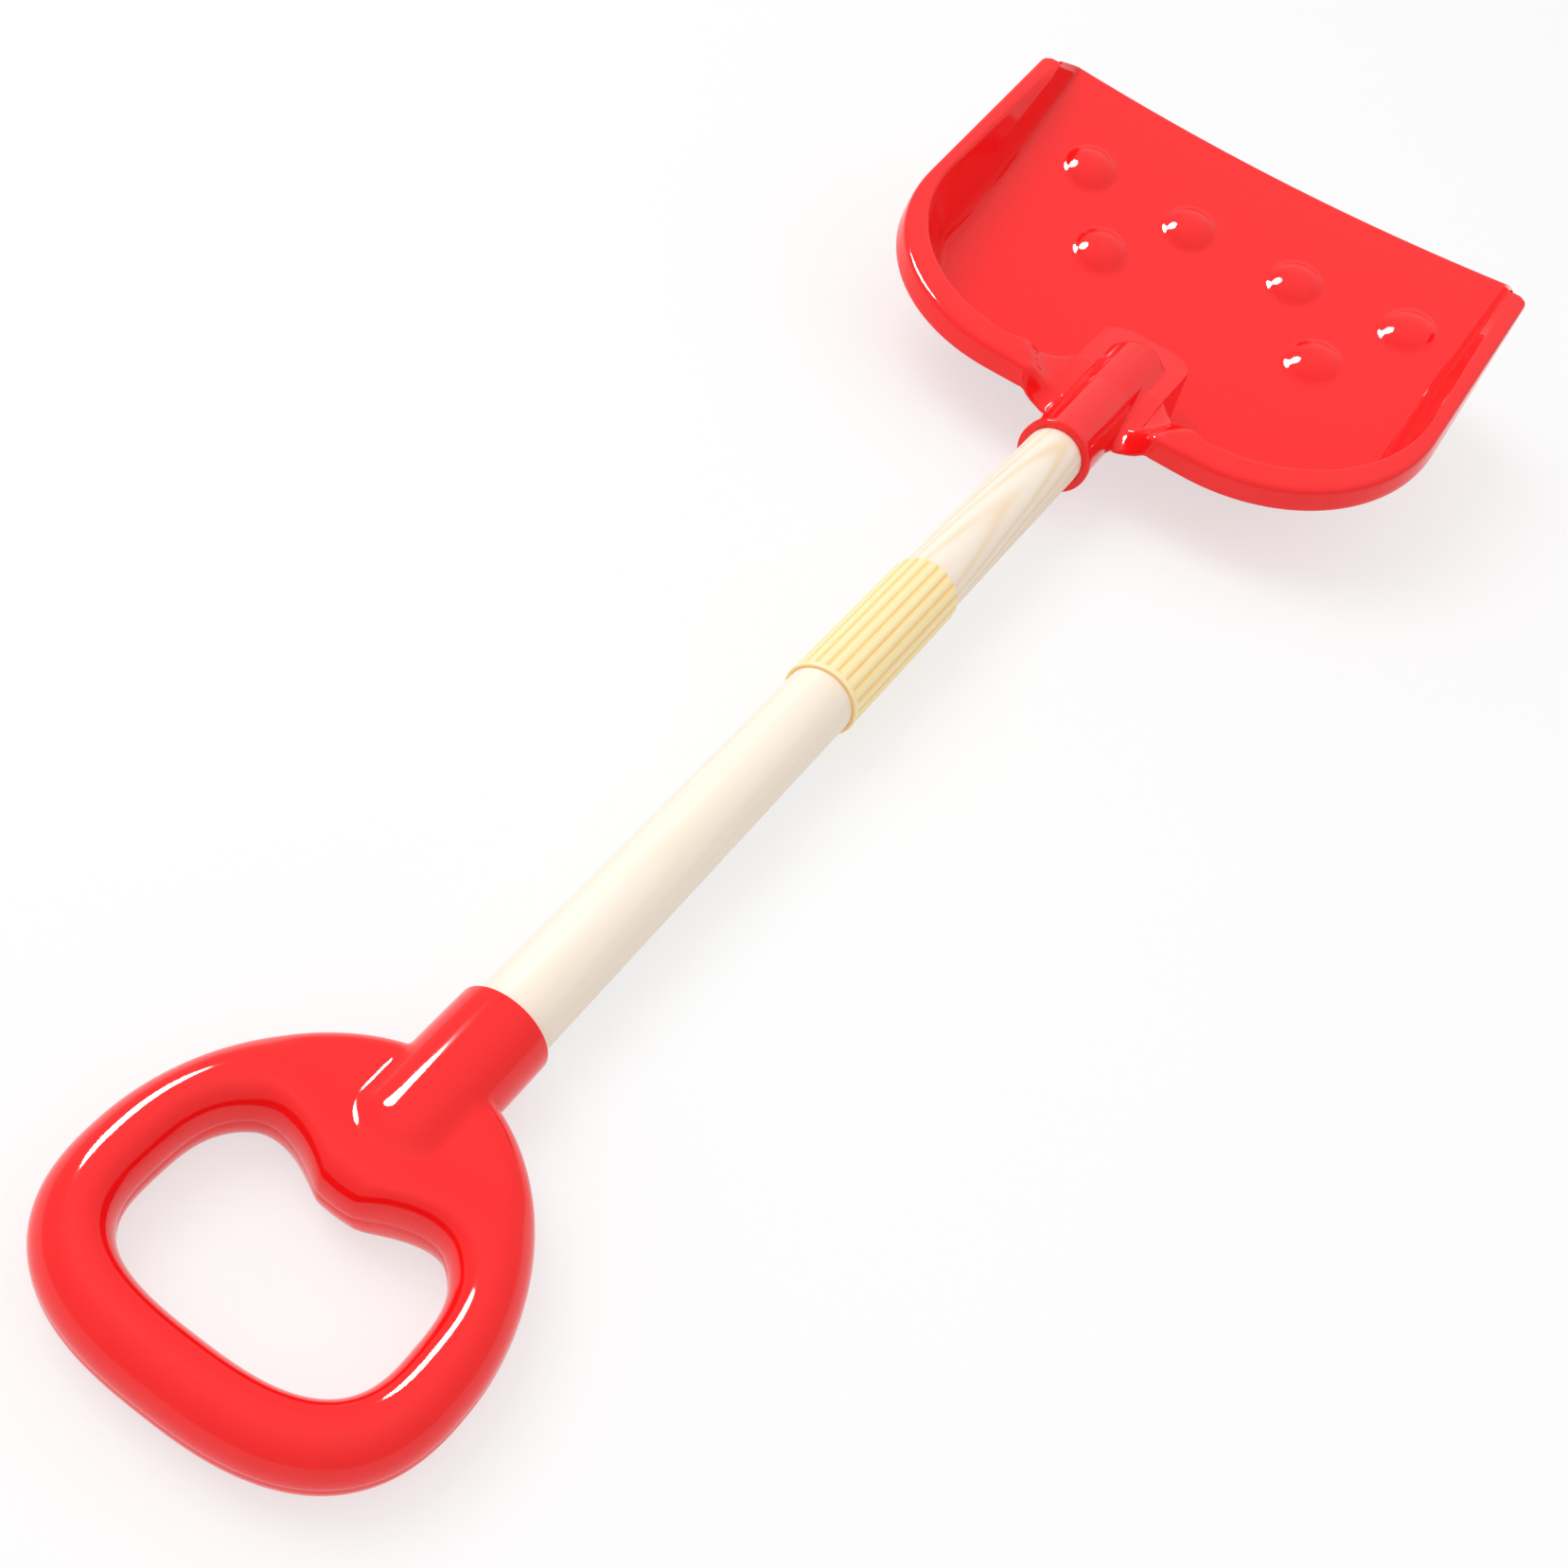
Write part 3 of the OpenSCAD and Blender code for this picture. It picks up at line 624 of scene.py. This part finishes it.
def pad_grid(b, s):
    """Raised pad: lines run from the middle line out to the pad's outline and down its wall to the floor."""
    tip, r = s.mouth + s.length + s.pad_front, s.pad_corner
    start = b.rim_start + PAD_START
    side = np.linspace(start, tip - r, PAD_LINES[0])[:-1]
    turn = np.linspace(0, np.pi / 2, PAD_LINES[1])
    front = np.linspace(s.pad_half - r, 0, PAD_LINES[2])[1:]
    px = np.concatenate([0 * side + s.pad_half, s.pad_half - r + r * np.cos(turn), front])
    py = np.concatenate([side, tip - r + r * np.sin(turn), 0 * front + tip])
    nx = np.concatenate([0 * side + 1, np.cos(turn), 0 * front])
    ny = np.concatenate([0 * side, np.sin(turn), 0 * front + 1])
    join = lambda v, sign: np.concatenate([v, sign * v[-2::-1]])[:, None]
    px, py, nx, ny = join(px, -1), join(py, 1), join(nx, -1), join(ny, 1)
    core_y = np.minimum(py, tip - r)
    v = np.linspace(0, 1, PAD_COLUMNS[0])[None, 1:]
    x, y = px * v, core_y + (py - core_y) * v
    out = np.concatenate([np.linspace(0, PAD_DRAFT, PAD_COLUMNS[1])[1:],
                          np.linspace(PAD_DRAFT, PAD_DRAFT + PAD_STRIP, PAD_COLUMNS[2])[1:]])[None]
    x, y = np.concatenate([x, px + out * nx], 1), np.concatenate([y, py + out * ny], 1)
    # Distance past the pad's outline, negative inside it
    away = np.concatenate([(v - 1) * np.hypot(px, py - core_y), 0 * px + out], 1)
    wall = s.pad_rise - (s.pad_rise + PAD_DEPTH) * away / PAD_DRAFT
    top = smooth_max(deck_height(b, s, x, y), tube_height(s, x, y) - SINK, FILLET)
    z = smooth_max(smooth_min(top, wall, FILLET), scoop_under(b, s, x, y) - SINK, FILLET)
    rear = smooth_step((start + PAD_FADE - y) / PAD_FADE)
    return np.stack([x, y, z + PAD_CLEAR - PAD_REAR_SINK * rear], -1)


def deck_pull(s, x):
    """How far the rim's inner edge runs forward near the tube: the square of a straight rise towards it."""
    return s.pull * np.clip((PULL_HALF - np.abs(x)) / PULL_RUN, 0, 1) ** 2


def scoop_under(b, s, x, y):
    """Height of the deck, back wall and floor near the middle: the cove's run is solved for its fall."""
    top_y = b.rim_start + b.rim_back + deck_pull(s, x)
    foot_y = b.rim_start + b.rim_back + b.back_run
    r = np.clip((y - top_y) / (foot_y - top_y), 0, 1)
    k, m = COVE, 1 - COVE
    part, squares = m - r, k * k + m * m
    root = np.sqrt(np.maximum((k * part) ** 2 - squares * (part ** 2 - m * m), 0))
    fall = (root - k * part) / squares
    top = deck_height(b, s, x, top_y + 0 * y)
    foot = floor_height(b, x, foot_y + 0 * y)
    wall = top + (foot - top) * np.clip(fall, 0, 1)
    return np.where(y < top_y, deck_height(b, s, x, y), np.where(r < 1, wall, floor_height(b, x, y)))


# Grip

# Powers of the outline's far end, its shoulders, the opening and the bar's crown
END_POWER = 2.6
SHOULDER_POWER = 1.88
OPENING_POWER = 3
CROWN_POWER = 2.2
# Share of the bulge's half width over which it dips, and share of the bar's width up to its crest
BULGE_FADE = 0.75
CREST_SHARE = 0.45
# Points round the ring, and columns of the inner and outer roundings and of the flat between them
RING_TURNS = 256
RISE_COLUMNS = 20
FLAT_COLUMNS = 26
# Strip beside the parting plane that keeps to it, strip round the collar that its fillet may lift, and the
# distance from an edge and least share with which that fillet sets in
PARTING_STRIP = 0.02 * MM
COLLAR_STRIP = 3 * MM
FILLET_START = 4 * MM
FILLET_LEAST = 0.05
# Rounding of the collar's mouth, distance from the bore's end to the dome's centre, and points round one half
LIP_ROUND = 0.6 * MM
BORE_SHORT = 5 * MM
COLLAR_TURNS = 97
# Points on the collar's dome, mouth and wall
DOME_POINTS = 24
LIP_POINTS = 6
WALL_POINTS = 12


def power_curve(a, width, height, power):
    """Distance of a superellipse from its middle in direction a."""
    return (np.abs(np.cos(a) / width) ** power + np.abs(np.sin(a) / height) ** power) ** (-1 / power)


def grip_edges(g, a):
    """Inner and outer outline of the ring in polar form about the middle of its widest line."""
    far, half = np.sin(a) < 0, g.half_width - g.bar
    outer = np.where(far, power_curve(a, g.half_width, g.length - g.middle, END_POWER),
                     power_curve(a, g.half_width, g.middle - g.shoulder, SHOULDER_POWER))
    lobes = power_curve(a, half, g.middle - g.lobe_top, OPENING_POWER)
    across = np.abs(lobes * np.cos(a))
    upper = lobes - g.bulge * smooth_step((g.bulge_half - across) / (BULGE_FADE * g.bulge_half))
    inner = np.where(far, power_curve(a, half, g.length - g.bar - g.middle, OPENING_POWER), upper)
    return inner, outer


def crown(u):
    """Flattened round from 0 at the edge to 1 at the crest and back."""
    return (1 - np.minimum(np.abs(1 - u), 1) ** CROWN_POWER) ** (1 / CROWN_POWER)


def half_ring(g, inset):
    """Upper half of the ring's skin, moved inwards by inset: bar, flat web and the blend to the collar."""
    a = np.linspace(0, 2 * np.pi, RING_TURNS, endpoint=False)[:, None]
    inner, outer = grip_edges(g, a)
    inner, outer = inner + inset, outer - inset
    span = outer - inner
    crest = CREST_SHARE * g.bar - inset
    rise = crest * (1 - np.cos(np.linspace(0, np.pi / 2, RISE_COLUMNS)[None]))
    flat = np.linspace(0, 1, FLAT_COLUMNS)[None, 1:-1]
    d = np.concatenate([rise + 0 * span, crest + (span - 2 * crest) * flat, span - rise[:, ::-1]], 1)
    bar = (g.bar_half - inset) * crown(d / crest)
    level = g.bar_half - inset - (g.bar_half - g.web_half) * smooth_step((d - crest) / g.fall)
    z = np.where(d <= crest, bar, level * crown(np.minimum((span - d) / (g.edge - inset), 1)))
    edge = np.minimum(d, span - d)
    z = z * np.clip(edge / PARTING_STRIP, 0, 1)
    x, y = (inner + d) * np.cos(a), (inner + d) * np.sin(a) - g.middle
    reach = np.clip(-y - g.collar_length, 0, g.collar)
    tube = np.sqrt(np.maximum((g.collar - inset) ** 2 - x ** 2 - reach ** 2, 0))
    strip = g.collar + COLLAR_STRIP
    near = (np.abs(x) < strip) & (-y < g.collar_length + strip)
    blended = smooth_max(z, tube - SINK, g.fillet * np.clip(edge / FILLET_START, FILLET_LEAST, 1))
    return np.stack([x, y, np.where(near, blended, z)], -1)


def grip_shell(g, side):
    """One half shell: outer and inner skins joined at the parting plane, where a fine groove runs.

    The groove's depth falls evenly to nothing over a height of four depths, and each skin stays a quarter of
    that depth off the plane.
    """
    outer, inner = half_ring(g, 0), half_ring(g, g.wall)
    for skin in (outer, inner):
        skin[..., 2] = np.maximum(skin[..., 2], g.seam / 4)
    columns = outer.shape[1]
    low = np.clip(1 - outer[..., 2:] / (4 * g.seam), 0, 1) * g.seam
    hole_side = (np.arange(columns) < columns // 2)[None, :, None]
    outward = unit((outer + np.array([0, g.middle, 0])) * np.array([1, 1, 0]))
    groove = outer + outward * low * np.where(hole_side, 1, -1)
    ring = np.concatenate([groove, inner[:, ::-1]], 1) * np.array([1, 1, side])
    return ring.reshape(-1, 3), rings(ring)[:, ::side]


def collar_profile(g):
    """Profile of the collar: bore, mouth with rounded lips, outer wall and the dome over the web."""
    lip, bore_end = LIP_ROUND, BORE_SHORT - g.collar_length
    dome = np.linspace(0, np.pi / 2, DOME_POINTS)
    round_end = np.stack([g.collar * np.cos(dome), -g.collar_length - g.collar * np.sin(dome)], 1)
    round_end[-1, 0] = AXIS
    t = np.linspace(np.pi / 2, 0, LIP_POINTS)
    mouth = np.stack([g.collar - lip + lip * np.cos(t), lip * np.sin(t) - lip], 1)
    wall_y = np.linspace(-lip, -g.collar_length, WALL_POINTS)[1:-1]
    wall = np.stack([np.full(len(wall_y), g.collar), wall_y], 1)
    bore = [(AXIS, bore_end), (g.collar_bore, bore_end), (g.collar_bore, -lip), (g.collar_bore + lip, 0)]
    return np.concatenate([bore, mouth, wall, round_end])


def half_caps(shape, start, side):
    """Flat faces on the parting plane that join the bore side of a half-turned profile to its outer side."""
    sides, columns = shape[:2]
    i = np.arange(columns // 2 - 1)
    j = columns - 1 - i
    first = np.stack([i, i + 1, j - 1, j], -1)
    last = first[:, ::-1] + (sides - 1) * columns
    return (np.concatenate([first, last]) + start)[:, ::side]


# Materials


def maths(operation, swapped=False):
    """A method that adds a Math node for one operator; swapped puts the other value first."""

    def method(self, *other):
        values = (*other, self) if swapped else (self, *other)
        return self.tree.node("ShaderNodeMath", {"operation": operation}, dict(enumerate(values)))

    return method


class Socket:
    """Wraps a node's output so that sums, products and powers of values add their Math nodes."""

    def __init__(self, tree, link):
        self.tree, self.link = tree, link

    __add__ = maths("ADD")
    __radd__ = maths("ADD", swapped=True)
    __sub__ = maths("SUBTRACT")
    __rsub__ = maths("SUBTRACT", swapped=True)
    __mul__ = maths("MULTIPLY")
    __rmul__ = maths("MULTIPLY", swapped=True)
    __truediv__ = maths("DIVIDE")
    __pow__ = maths("POWER")
    sine = maths("SINE")
    root = maths("SQRT")

    def clipped(self):
        """The value kept between 0 and 1."""
        return self.tree.node("ShaderNodeClamp", {}, {0: self})


class Nodes:
    """The node tree of a material or world, with one method that makes any node."""

    def __init__(self, owner, shader):
        owner.use_nodes = True
        self.owner, self.nodes, self.links = owner, owner.node_tree.nodes, owner.node_tree.links
        self.shader = self.nodes[shader]

    def node(self, kind, given, inputs, out=0):
        """Makes a node, sets its settings, then its sockets' values or links, and returns an output."""
        node = self.nodes.new(kind)
        for name, value in given.items():
            setattr(node, name, value)
        for key, value in inputs.items():
            self.feed(node.inputs[key], value)
        return Socket(self, node.outputs[out])

    def feed(self, socket, value):
        """Links a wrapped output to a socket, or sets the socket's own value."""
        if isinstance(value, Socket):
            self.links.new(value.link, socket)
        elif socket.type == "RGBA":
            socket.default_value = (*value, 1)
        else:
            socket.default_value = value

    def surface(self, **inputs):
        """Feeds the surface shader's sockets by name."""
        for key, value in inputs.items():
            self.feed(self.shader.inputs[key.replace("_", " ")], value)
        return self.owner

    def output(self, name, share, first, second):
        """Mixes two shaders by a share and feeds the named output with them."""
        both = self.node("ShaderNodeMixShader", {}, {0: share, 1: first, 2: second})
        self.feed(self.nodes[name].inputs["Surface"], both)

    def rays(self, *kinds):
        """1 for rays of any of the kinds, as Light Path names them, and 0 for the rest."""
        seen = [self.node("ShaderNodeLightPath", {}, {}, out=f"Is {kind} Ray") for kind in kinds]
        return sum(seen[1:], seen[0]).clipped()

    def axes(self, vector):
        """The three parts of a vector."""
        first = self.node("ShaderNodeSeparateXYZ", {}, {0: vector})
        return [Socket(self, output) for output in first.link.node.outputs]

    def along_shaft(self):
        """Object coordinates turned to the shaft's own axes."""
        coords = self.node("ShaderNodeTexCoord", {}, {}, out="Object")
        shift = self.node("ShaderNodeVectorMath", {"operation": "SUBTRACT"}, {0: coords, 1: tuple(ORIGIN)})
        return self.node("ShaderNodeMapping", {"vector_type": "POINT"},
                         {"Vector": shift, "Rotation": (-REST_TILT, 0, 0)})

    def noise(self, vector, scale, detail=2.0, rough=0.5):
        """A noise value from 0 to 1; scale counts features per metre."""
        return self.node("ShaderNodeTexNoise", {"noise_dimensions": "3D"},
                         {"Vector": vector, "Scale": scale, "Detail": detail, "Roughness": rough})

    def mix(self, factor, a, b):
        """Mixes two colours by a value."""
        return self.node("ShaderNodeMix", {"data_type": "RGBA"}, {0: factor, 6: a, 7: b}, out=2)

    def stretch(self, vector, along):
        """Scales a vector's part along the shaft, so that a small number draws features out that way."""
        return self.node("ShaderNodeVectorMath", {"operation": "MULTIPLY"}, {0: vector, 1: (1, along, 1)})

    def bump(self, height, strength, distance):
        """A bump normal from a height."""
        return self.node("ShaderNodeBump", {}, {"Strength": strength, "Distance": distance, "Height": height})


def finish(name):
    """A new material's nodes, and the shaft's coordinates in them."""
    f = Nodes(bpy.data.materials.new(name), "Principled BSDF")
    return f, f.along_shaft()


# Refraction of the plastics, and the red's darker share where the flow is deep
PLASTIC_IOR = 1.48
FLOW_SHADE = 0.94


def red_plastic(colours):
    """Glossy moulded plastic: even red, faint flow variation and fine surface unevenness; made once."""
    made = bpy.data.materials.get("moulded_red")
    if made:
        return made
    f, p = finish("moulded_red")
    flow = f.noise(f.stretch(p, along=0.4), scale=22)
    fine = f.noise(p, scale=900)
    waves = f.noise(p, scale=45, detail=1)
    colour = f.mix(flow, [c * FLOW_SHADE for c in colours.red], colours.red)
    normal = f.bump(waves + fine * 0.02, strength=0.25, distance=0.2 * MM)
    return f.surface(Base_Color=colour, Roughness=0.05 + 0.03 * fine, Normal=normal, IOR=PLASTIC_IOR)


# Pith of the growth rings: its place across the shaft at y = 0, and how far it strays for each step along it.
# Then the rings' wandering, the rate of their wave, and the power that thins the late wood
PITH = (-8 * MM, -28 * MM)
PITH_STRAY = (0.01, 0.03)
WANDER = 5 * MM
RING_RATE = 3100
LATE_POWER = 2.2
# The grain is stronger on the blade's side: where it starts to grow, and how fast
STRONG_START = 190 * MM
STRONG_RATE = 16
# Late wood's share: its least and what streaks add, times the grip side's part and what the blade's side adds
LATE_LEAST = 0.05
LATE_STREAKS = 0.5
GRIP_SIDE = 0.35
BLADE_SIDE = 1.8
# Share of the grain colour in the fibres
FIBRES = 0.14


def pine_wood(colours):
    """Sanded pine: growth rings about a pith beside the dowel, so streaks and long arches run along it."""
    f, p = finish("pine_wood")
    wander = f.noise(f.stretch(p, along=0.12), scale=38)
    fibre = f.noise(f.stretch(p, along=0.02), scale=1500, detail=3, rough=0.6)
    streak = f.noise(f.stretch(p, along=0.05), scale=260)
    x, y, z = f.axes(p)
    away_x, away_z = (v - start - y * stray for v, start, stray in zip((x, z), PITH, PITH_STRAY))
    ring = ((away_x * away_x + away_z * away_z).root() + (wander - 0.5) * WANDER) * RING_RATE
    late = ((ring.sine() + 1) * 0.5) ** LATE_POWER
    side = GRIP_SIDE + BLADE_SIDE * ((y - STRONG_START) * STRONG_RATE).clipped()
    share = (late * (LATE_LEAST + LATE_STREAKS * streak) * side + fibre * FIBRES).clipped()
    colour = f.mix(share, colours.wood, colours.grain)
    normal = f.bump(fibre * 0.6 - late * 0.2, strength=0.3, distance=0.12 * MM)
    return f.surface(Base_Color=colour, Roughness=0.55 + 0.12 * fibre, Normal=normal)


# Distance below the rib crests at which the sleeve's painted shade in the grooves is full, its share there,
# and its mottling
GROOVE_DEPTH = 0.55 * MM
GROOVE_SHADE_SHARE = 0.75
GROOVE_SHADE_CLOUD = 0.35


def cream_plastic(colours):
    """Satin sleeve plastic: pale crests, with painted shade in the grooves, a deeper orange tone set by
    distance from the axis.
    """
    f, p = finish("cream_plastic")
    cloud = f.noise(p, scale=120)
    grain = f.noise(p, scale=2400)
    x, _, z = f.axes(p)
    depth = ((settings().sleeve.crest - (x * x + z * z).root()) / GROOVE_DEPTH).clipped()
    # Painted shade in the grooves: the groove colour grows with the depth below the rib crests
    colour = f.mix((depth * (GROOVE_SHADE_SHARE + GROOVE_SHADE_CLOUD * cloud)).clipped(), colours.cream, colours.groove)
    normal = f.bump(grain, strength=0.2, distance=0.06 * MM)
    return f.surface(Base_Color=colour, Roughness=0.38 + 0.1 * grain, Normal=normal, IOR=PLASTIC_IOR)


# Darker and paler mottling of the zinc
ZINC_DARK = (0.62, 0.63, 0.65)
ZINC_PALE = (0.8, 0.8, 0.82)


def zinc_steel():
    """Zinc-plated screws: grey metal with fine mottling."""
    f, p = finish("zinc_steel")
    mottle = f.noise(p, scale=1800, detail=3)
    colour = f.mix(mottle, ZINC_DARK, ZINC_PALE)
    return f.surface(Base_Color=colour, Metallic=1.0, Roughness=0.28 + 0.2 * mottle)


# White, the share of the floor that is plain white to the camera, and its brighter share where it is mottled
WHITE = (1, 1, 1)
WHITE_SHARE = 0.65
SPECK_SHADE = 1.02
# Strength of the world's light at the horizon, and how much stronger it is overhead
SKY = 0.6
OVERHEAD = 0.4


def floor_paint(colours):
    """Pale floor: mostly plain white to the camera and in reflections, so that a soft shadow shows on it."""
    f = Nodes(bpy.data.materials.new("studio_floor"), "Principled BSDF")
    speck = f.noise(f.node("ShaderNodeTexCoord", {}, {}, out="Object"), scale=6)
    colour = f.mix(speck, colours.floor, [min(1, c * SPECK_SHADE) for c in colours.floor])
    white = f.node("ShaderNodeEmission", {}, {"Color": WHITE, "Strength": 1})
    share = f.rays("Camera", "Glossy", "Transmission") * WHITE_SHARE
    f.output("Material Output", share, Socket(f, f.shader.outputs[0]), white)
    return f.surface(Base_Color=colour, Roughness=0.9, Specular_IOR_Level=0.1)


def sky_light(world):
    """White to the camera; on everything else its light grows with the square of the height it comes from."""
    f = Nodes(world, "Background")
    z = f.axes(f.node("ShaderNodeTexCoord", {}, {}, out="Generated"))[2]
    f.surface(Color=WHITE, Strength=SKY + z * z * OVERHEAD)
    white = f.node("ShaderNodeBackground", {}, {"Color": WHITE, "Strength": 1})
    f.output("World Output", f.rays("Camera"), Socket(f, f.shader.outputs[0]), white)


# Operators


class SHOVEL_OT_shaft(bpy.types.Operator):
    """Make the wooden dowel"""

    bl_idname = "shovel.shaft"
    bl_label = "Shaft"

    def execute(self, context):
        grid = revolve(shaft_profile(settings().shaft), SHAFT_TURNS)
        add_piece("shaft_dowel", grid, rings(grid), "pine", pine_wood(settings().colours), ["shaft"])
        return {"FINISHED"}


class SHOVEL_OT_sleeve(bpy.types.Operator):
    """Make the ribbed sleeve"""

    bl_idname = "shovel.sleeve"
    bl_label = "Sleeve"

    def execute(self, context):
        grid = sleeve_grid(settings().sleeve)
        add_piece("ribbed_sleeve", grid, rings(grid), "cream_plastic",
                  cream_plastic(settings().colours), ["sleeve"], sharp=50)
        return {"FINISHED"}


class SHOVEL_OT_grip(bpy.types.Operator):
    """Make the two half shells of the D-grip, each with its half of the collar"""

    bl_idname = "shovel.grip"
    bl_label = "D-grip"

    def execute(self, context):
        g = settings().grip
        red = red_plastic(settings().colours)
        for name, side in (("grip_front_shell", 1), ("grip_back_shell", -1)):
            points, faces = grip_shell(g, side)
            tube = revolve(collar_profile(g), COLLAR_TURNS, half=True) * np.array([1, 1, side])
            more = quads(*tube.shape[:2], False, True, start=len(points))[:, ::side]
            caps = half_caps(tube.shape, len(points), side)
            add_piece(name + "_skin", np.concatenate([points, tube.reshape(-1, 3)]),
                      np.concatenate([faces, more, caps]), "red_plastic", red, [name])
        return {"FINISHED"}


class SHOVEL_OT_scoop(bpy.types.Operator):
    """Make the scoop with its rim, skirt, walls, floor and bumps"""

    bl_idname = "shovel.scoop"
    bl_label = "Scoop"

    def execute(self, context):
        b, s = settings().blade, settings().socket
        upper = scoop_face(b, s)
        lower = upper - b.wall * grid_normals(upper) * normal_sign(upper)
        add_piece("scoop_tray", *thick_sheet(upper, lower), "red_plastic",
                  red_plastic(settings().colours), ["blade"], sharp=60)
        return {"FINISHED"}


class SHOVEL_OT_socket(bpy.types.Operator):
    """Make the socket tube and the raised pad round its end"""

    bl_idname = "shovel.socket"
    bl_label = "Socket"

    def execute(self, context):
        b, s = settings().blade, settings().socket
        red = red_plastic(settings().colours)
        tube = revolve(tube_profile(s), TUBE_TURNS)
        add_piece("socket_tube", tube, rings(tube), "red_plastic", red, ["blade"])
        upper = pad_grid(b, s)
        sheet = thick_sheet(upper, upper - np.array([0, 0, b.wall / 2]), lip_steps=2)
        add_piece("socket_pad", *sheet, "red_plastic", red, ["blade"], sharp=60)
        return {"FINISHED"}


class SHOVEL_OT_screws(bpy.types.Operator):
    """Give the two screws their finish"""

    bl_idname = "shovel.screws"
    bl_label = "Screws"

    def execute(self, context):
        zinc = zinc_steel()
        for name in ("grip_screw", "blade_screw"):
            piece = frame["nodes"][name]
            piece.data.materials.clear()
            piece.data.materials.append(zinc)
        return {"FINISHED"}


# Half the floor's width
FLOOR_HALF = 6.0
# The camera's place and axes in the shovel's own axes, its lens and sensor in millimetres, and its reach
CAMERA_PLACE = (125.71 * MM, -240.50 * MM, 403.34 * MM)
CAMERA_RIGHT = (0.82841, 0.50932, 0.23310)
CAMERA_UP = (-0.52129, 0.54878, 0.65352)
CAMERA_LENS = 40.41
SENSOR = 36
CAMERA_REACH = 50
# The point that the lamps look at, on the floor near the shovel's middle
LAMP_TARGET = (0, 0.05, 0)


class SHOVEL_OT_stage(bpy.types.Operator):
    """Set the floor, soft lamps, world and camera"""

    bl_idname = "shovel.stage"
    bl_label = "Stage"

    def execute(self, context):
        scene = context.scene
        scene.view_settings.view_transform = "Standard"
        h = FLOOR_HALF
        mesh = bpy.data.meshes.new("studio_floor")
        mesh.from_pydata([(-h, -h, 0), (h, -h, 0), (h, h, 0), (-h, h, 0)], [], [(0, 1, 2, 3)])
        floor = bpy.data.objects.new("studio_floor", mesh)
        scene.collection.objects.link(floor)
        floor.data.materials.append(floor_paint(settings().colours))
        right, up = Vector(CAMERA_RIGHT).normalized(), Vector(CAMERA_UP).normalized()
        back = right.cross(up)
        turn = TURN @ Matrix((right, up, back)).transposed()
        spot = TURN @ Vector(CAMERA_PLACE) + ORIGIN
        camera = bpy.data.cameras.new("camera")
        camera.lens, camera.sensor_width, camera.clip_end = CAMERA_LENS, SENSOR, CAMERA_REACH
        view = bpy.data.objects.new("camera", camera)
        view.matrix_world = Matrix.Translation(spot) @ turn.to_4x4()
        scene.collection.objects.link(view)
        scene.camera = view
        lamp("key", spot=(-1.1, -0.2, 1.8), width=1.4, watts=16, gloss=False)
        lamp("glint", spot=(-1.0, 0.19, 1.02), width=0.5, watts=32, diffuse=False)
        scene.world = scene.world or bpy.data.worlds.new("world")
        sky_light(scene.world)
        return {"FINISHED"}


def lamp(name, spot, width, watts, diffuse=True, gloss=True):
    """A round area lamp turned to the shovel; diffuse and gloss say whether it lights and is reflected."""
    light = bpy.data.lights.new(name, "AREA")
    light.shape = "DISK"
    light.size, light.energy = width, watts
    obj = bpy.data.objects.new(name, light)
    obj.location = spot
    obj.visible_diffuse, obj.visible_glossy = diffuse, gloss
    obj.rotation_euler = (Vector(LAMP_TARGET) - Vector(spot)).to_track_quat("-Z", "Y").to_euler()
    bpy.context.scene.collection.objects.link(obj)


class SHOVEL_PT_panel(bpy.types.Panel):
    """Lists the shovel's pieces and sizes in the sidebar"""

    bl_label = "Sand shovel"
    bl_idname = "SHOVEL_PT_panel"
    bl_space_type = "VIEW_3D"
    bl_region_type = "UI"
    bl_category = "Shovel"

    def draw(self, context):
        for operator in OPERATORS:
            self.layout.operator(operator.bl_idname)
        for group in Shovel.__annotations__:
            part = getattr(settings(), group)
            for prop in type(part).__annotations__:
                self.layout.prop(part, prop)


OPERATORS = (SHOVEL_OT_stage, SHOVEL_OT_shaft, SHOVEL_OT_sleeve, SHOVEL_OT_grip, SHOVEL_OT_scoop,
             SHOVEL_OT_socket, SHOVEL_OT_screws)
GROUPS = (ShovelShaft, ShovelSleeve, ShovelGrip, ShovelBlade, ShovelSocket, ShovelColours, Shovel)
CLASSES = (*GROUPS, *OPERATORS, SHOVEL_PT_panel)


def register():
    for cls in CLASSES:
        bpy.utils.register_class(cls)
    bpy.types.Scene.shovel = PointerProperty(type=Shovel)


def unregister():
    del bpy.types.Scene.shovel
    for cls in reversed(CLASSES):
        bpy.utils.unregister_class(cls)


def main():
    register()
    bpy.ops.shovel.stage()
    bpy.ops.shovel.shaft()
    bpy.ops.shovel.sleeve()
    bpy.ops.shovel.grip()
    bpy.ops.shovel.scoop()
    bpy.ops.shovel.socket()
    bpy.ops.shovel.screws()
    bpy.context.view_layer.update()


if __name__ == "__main__":
    main()
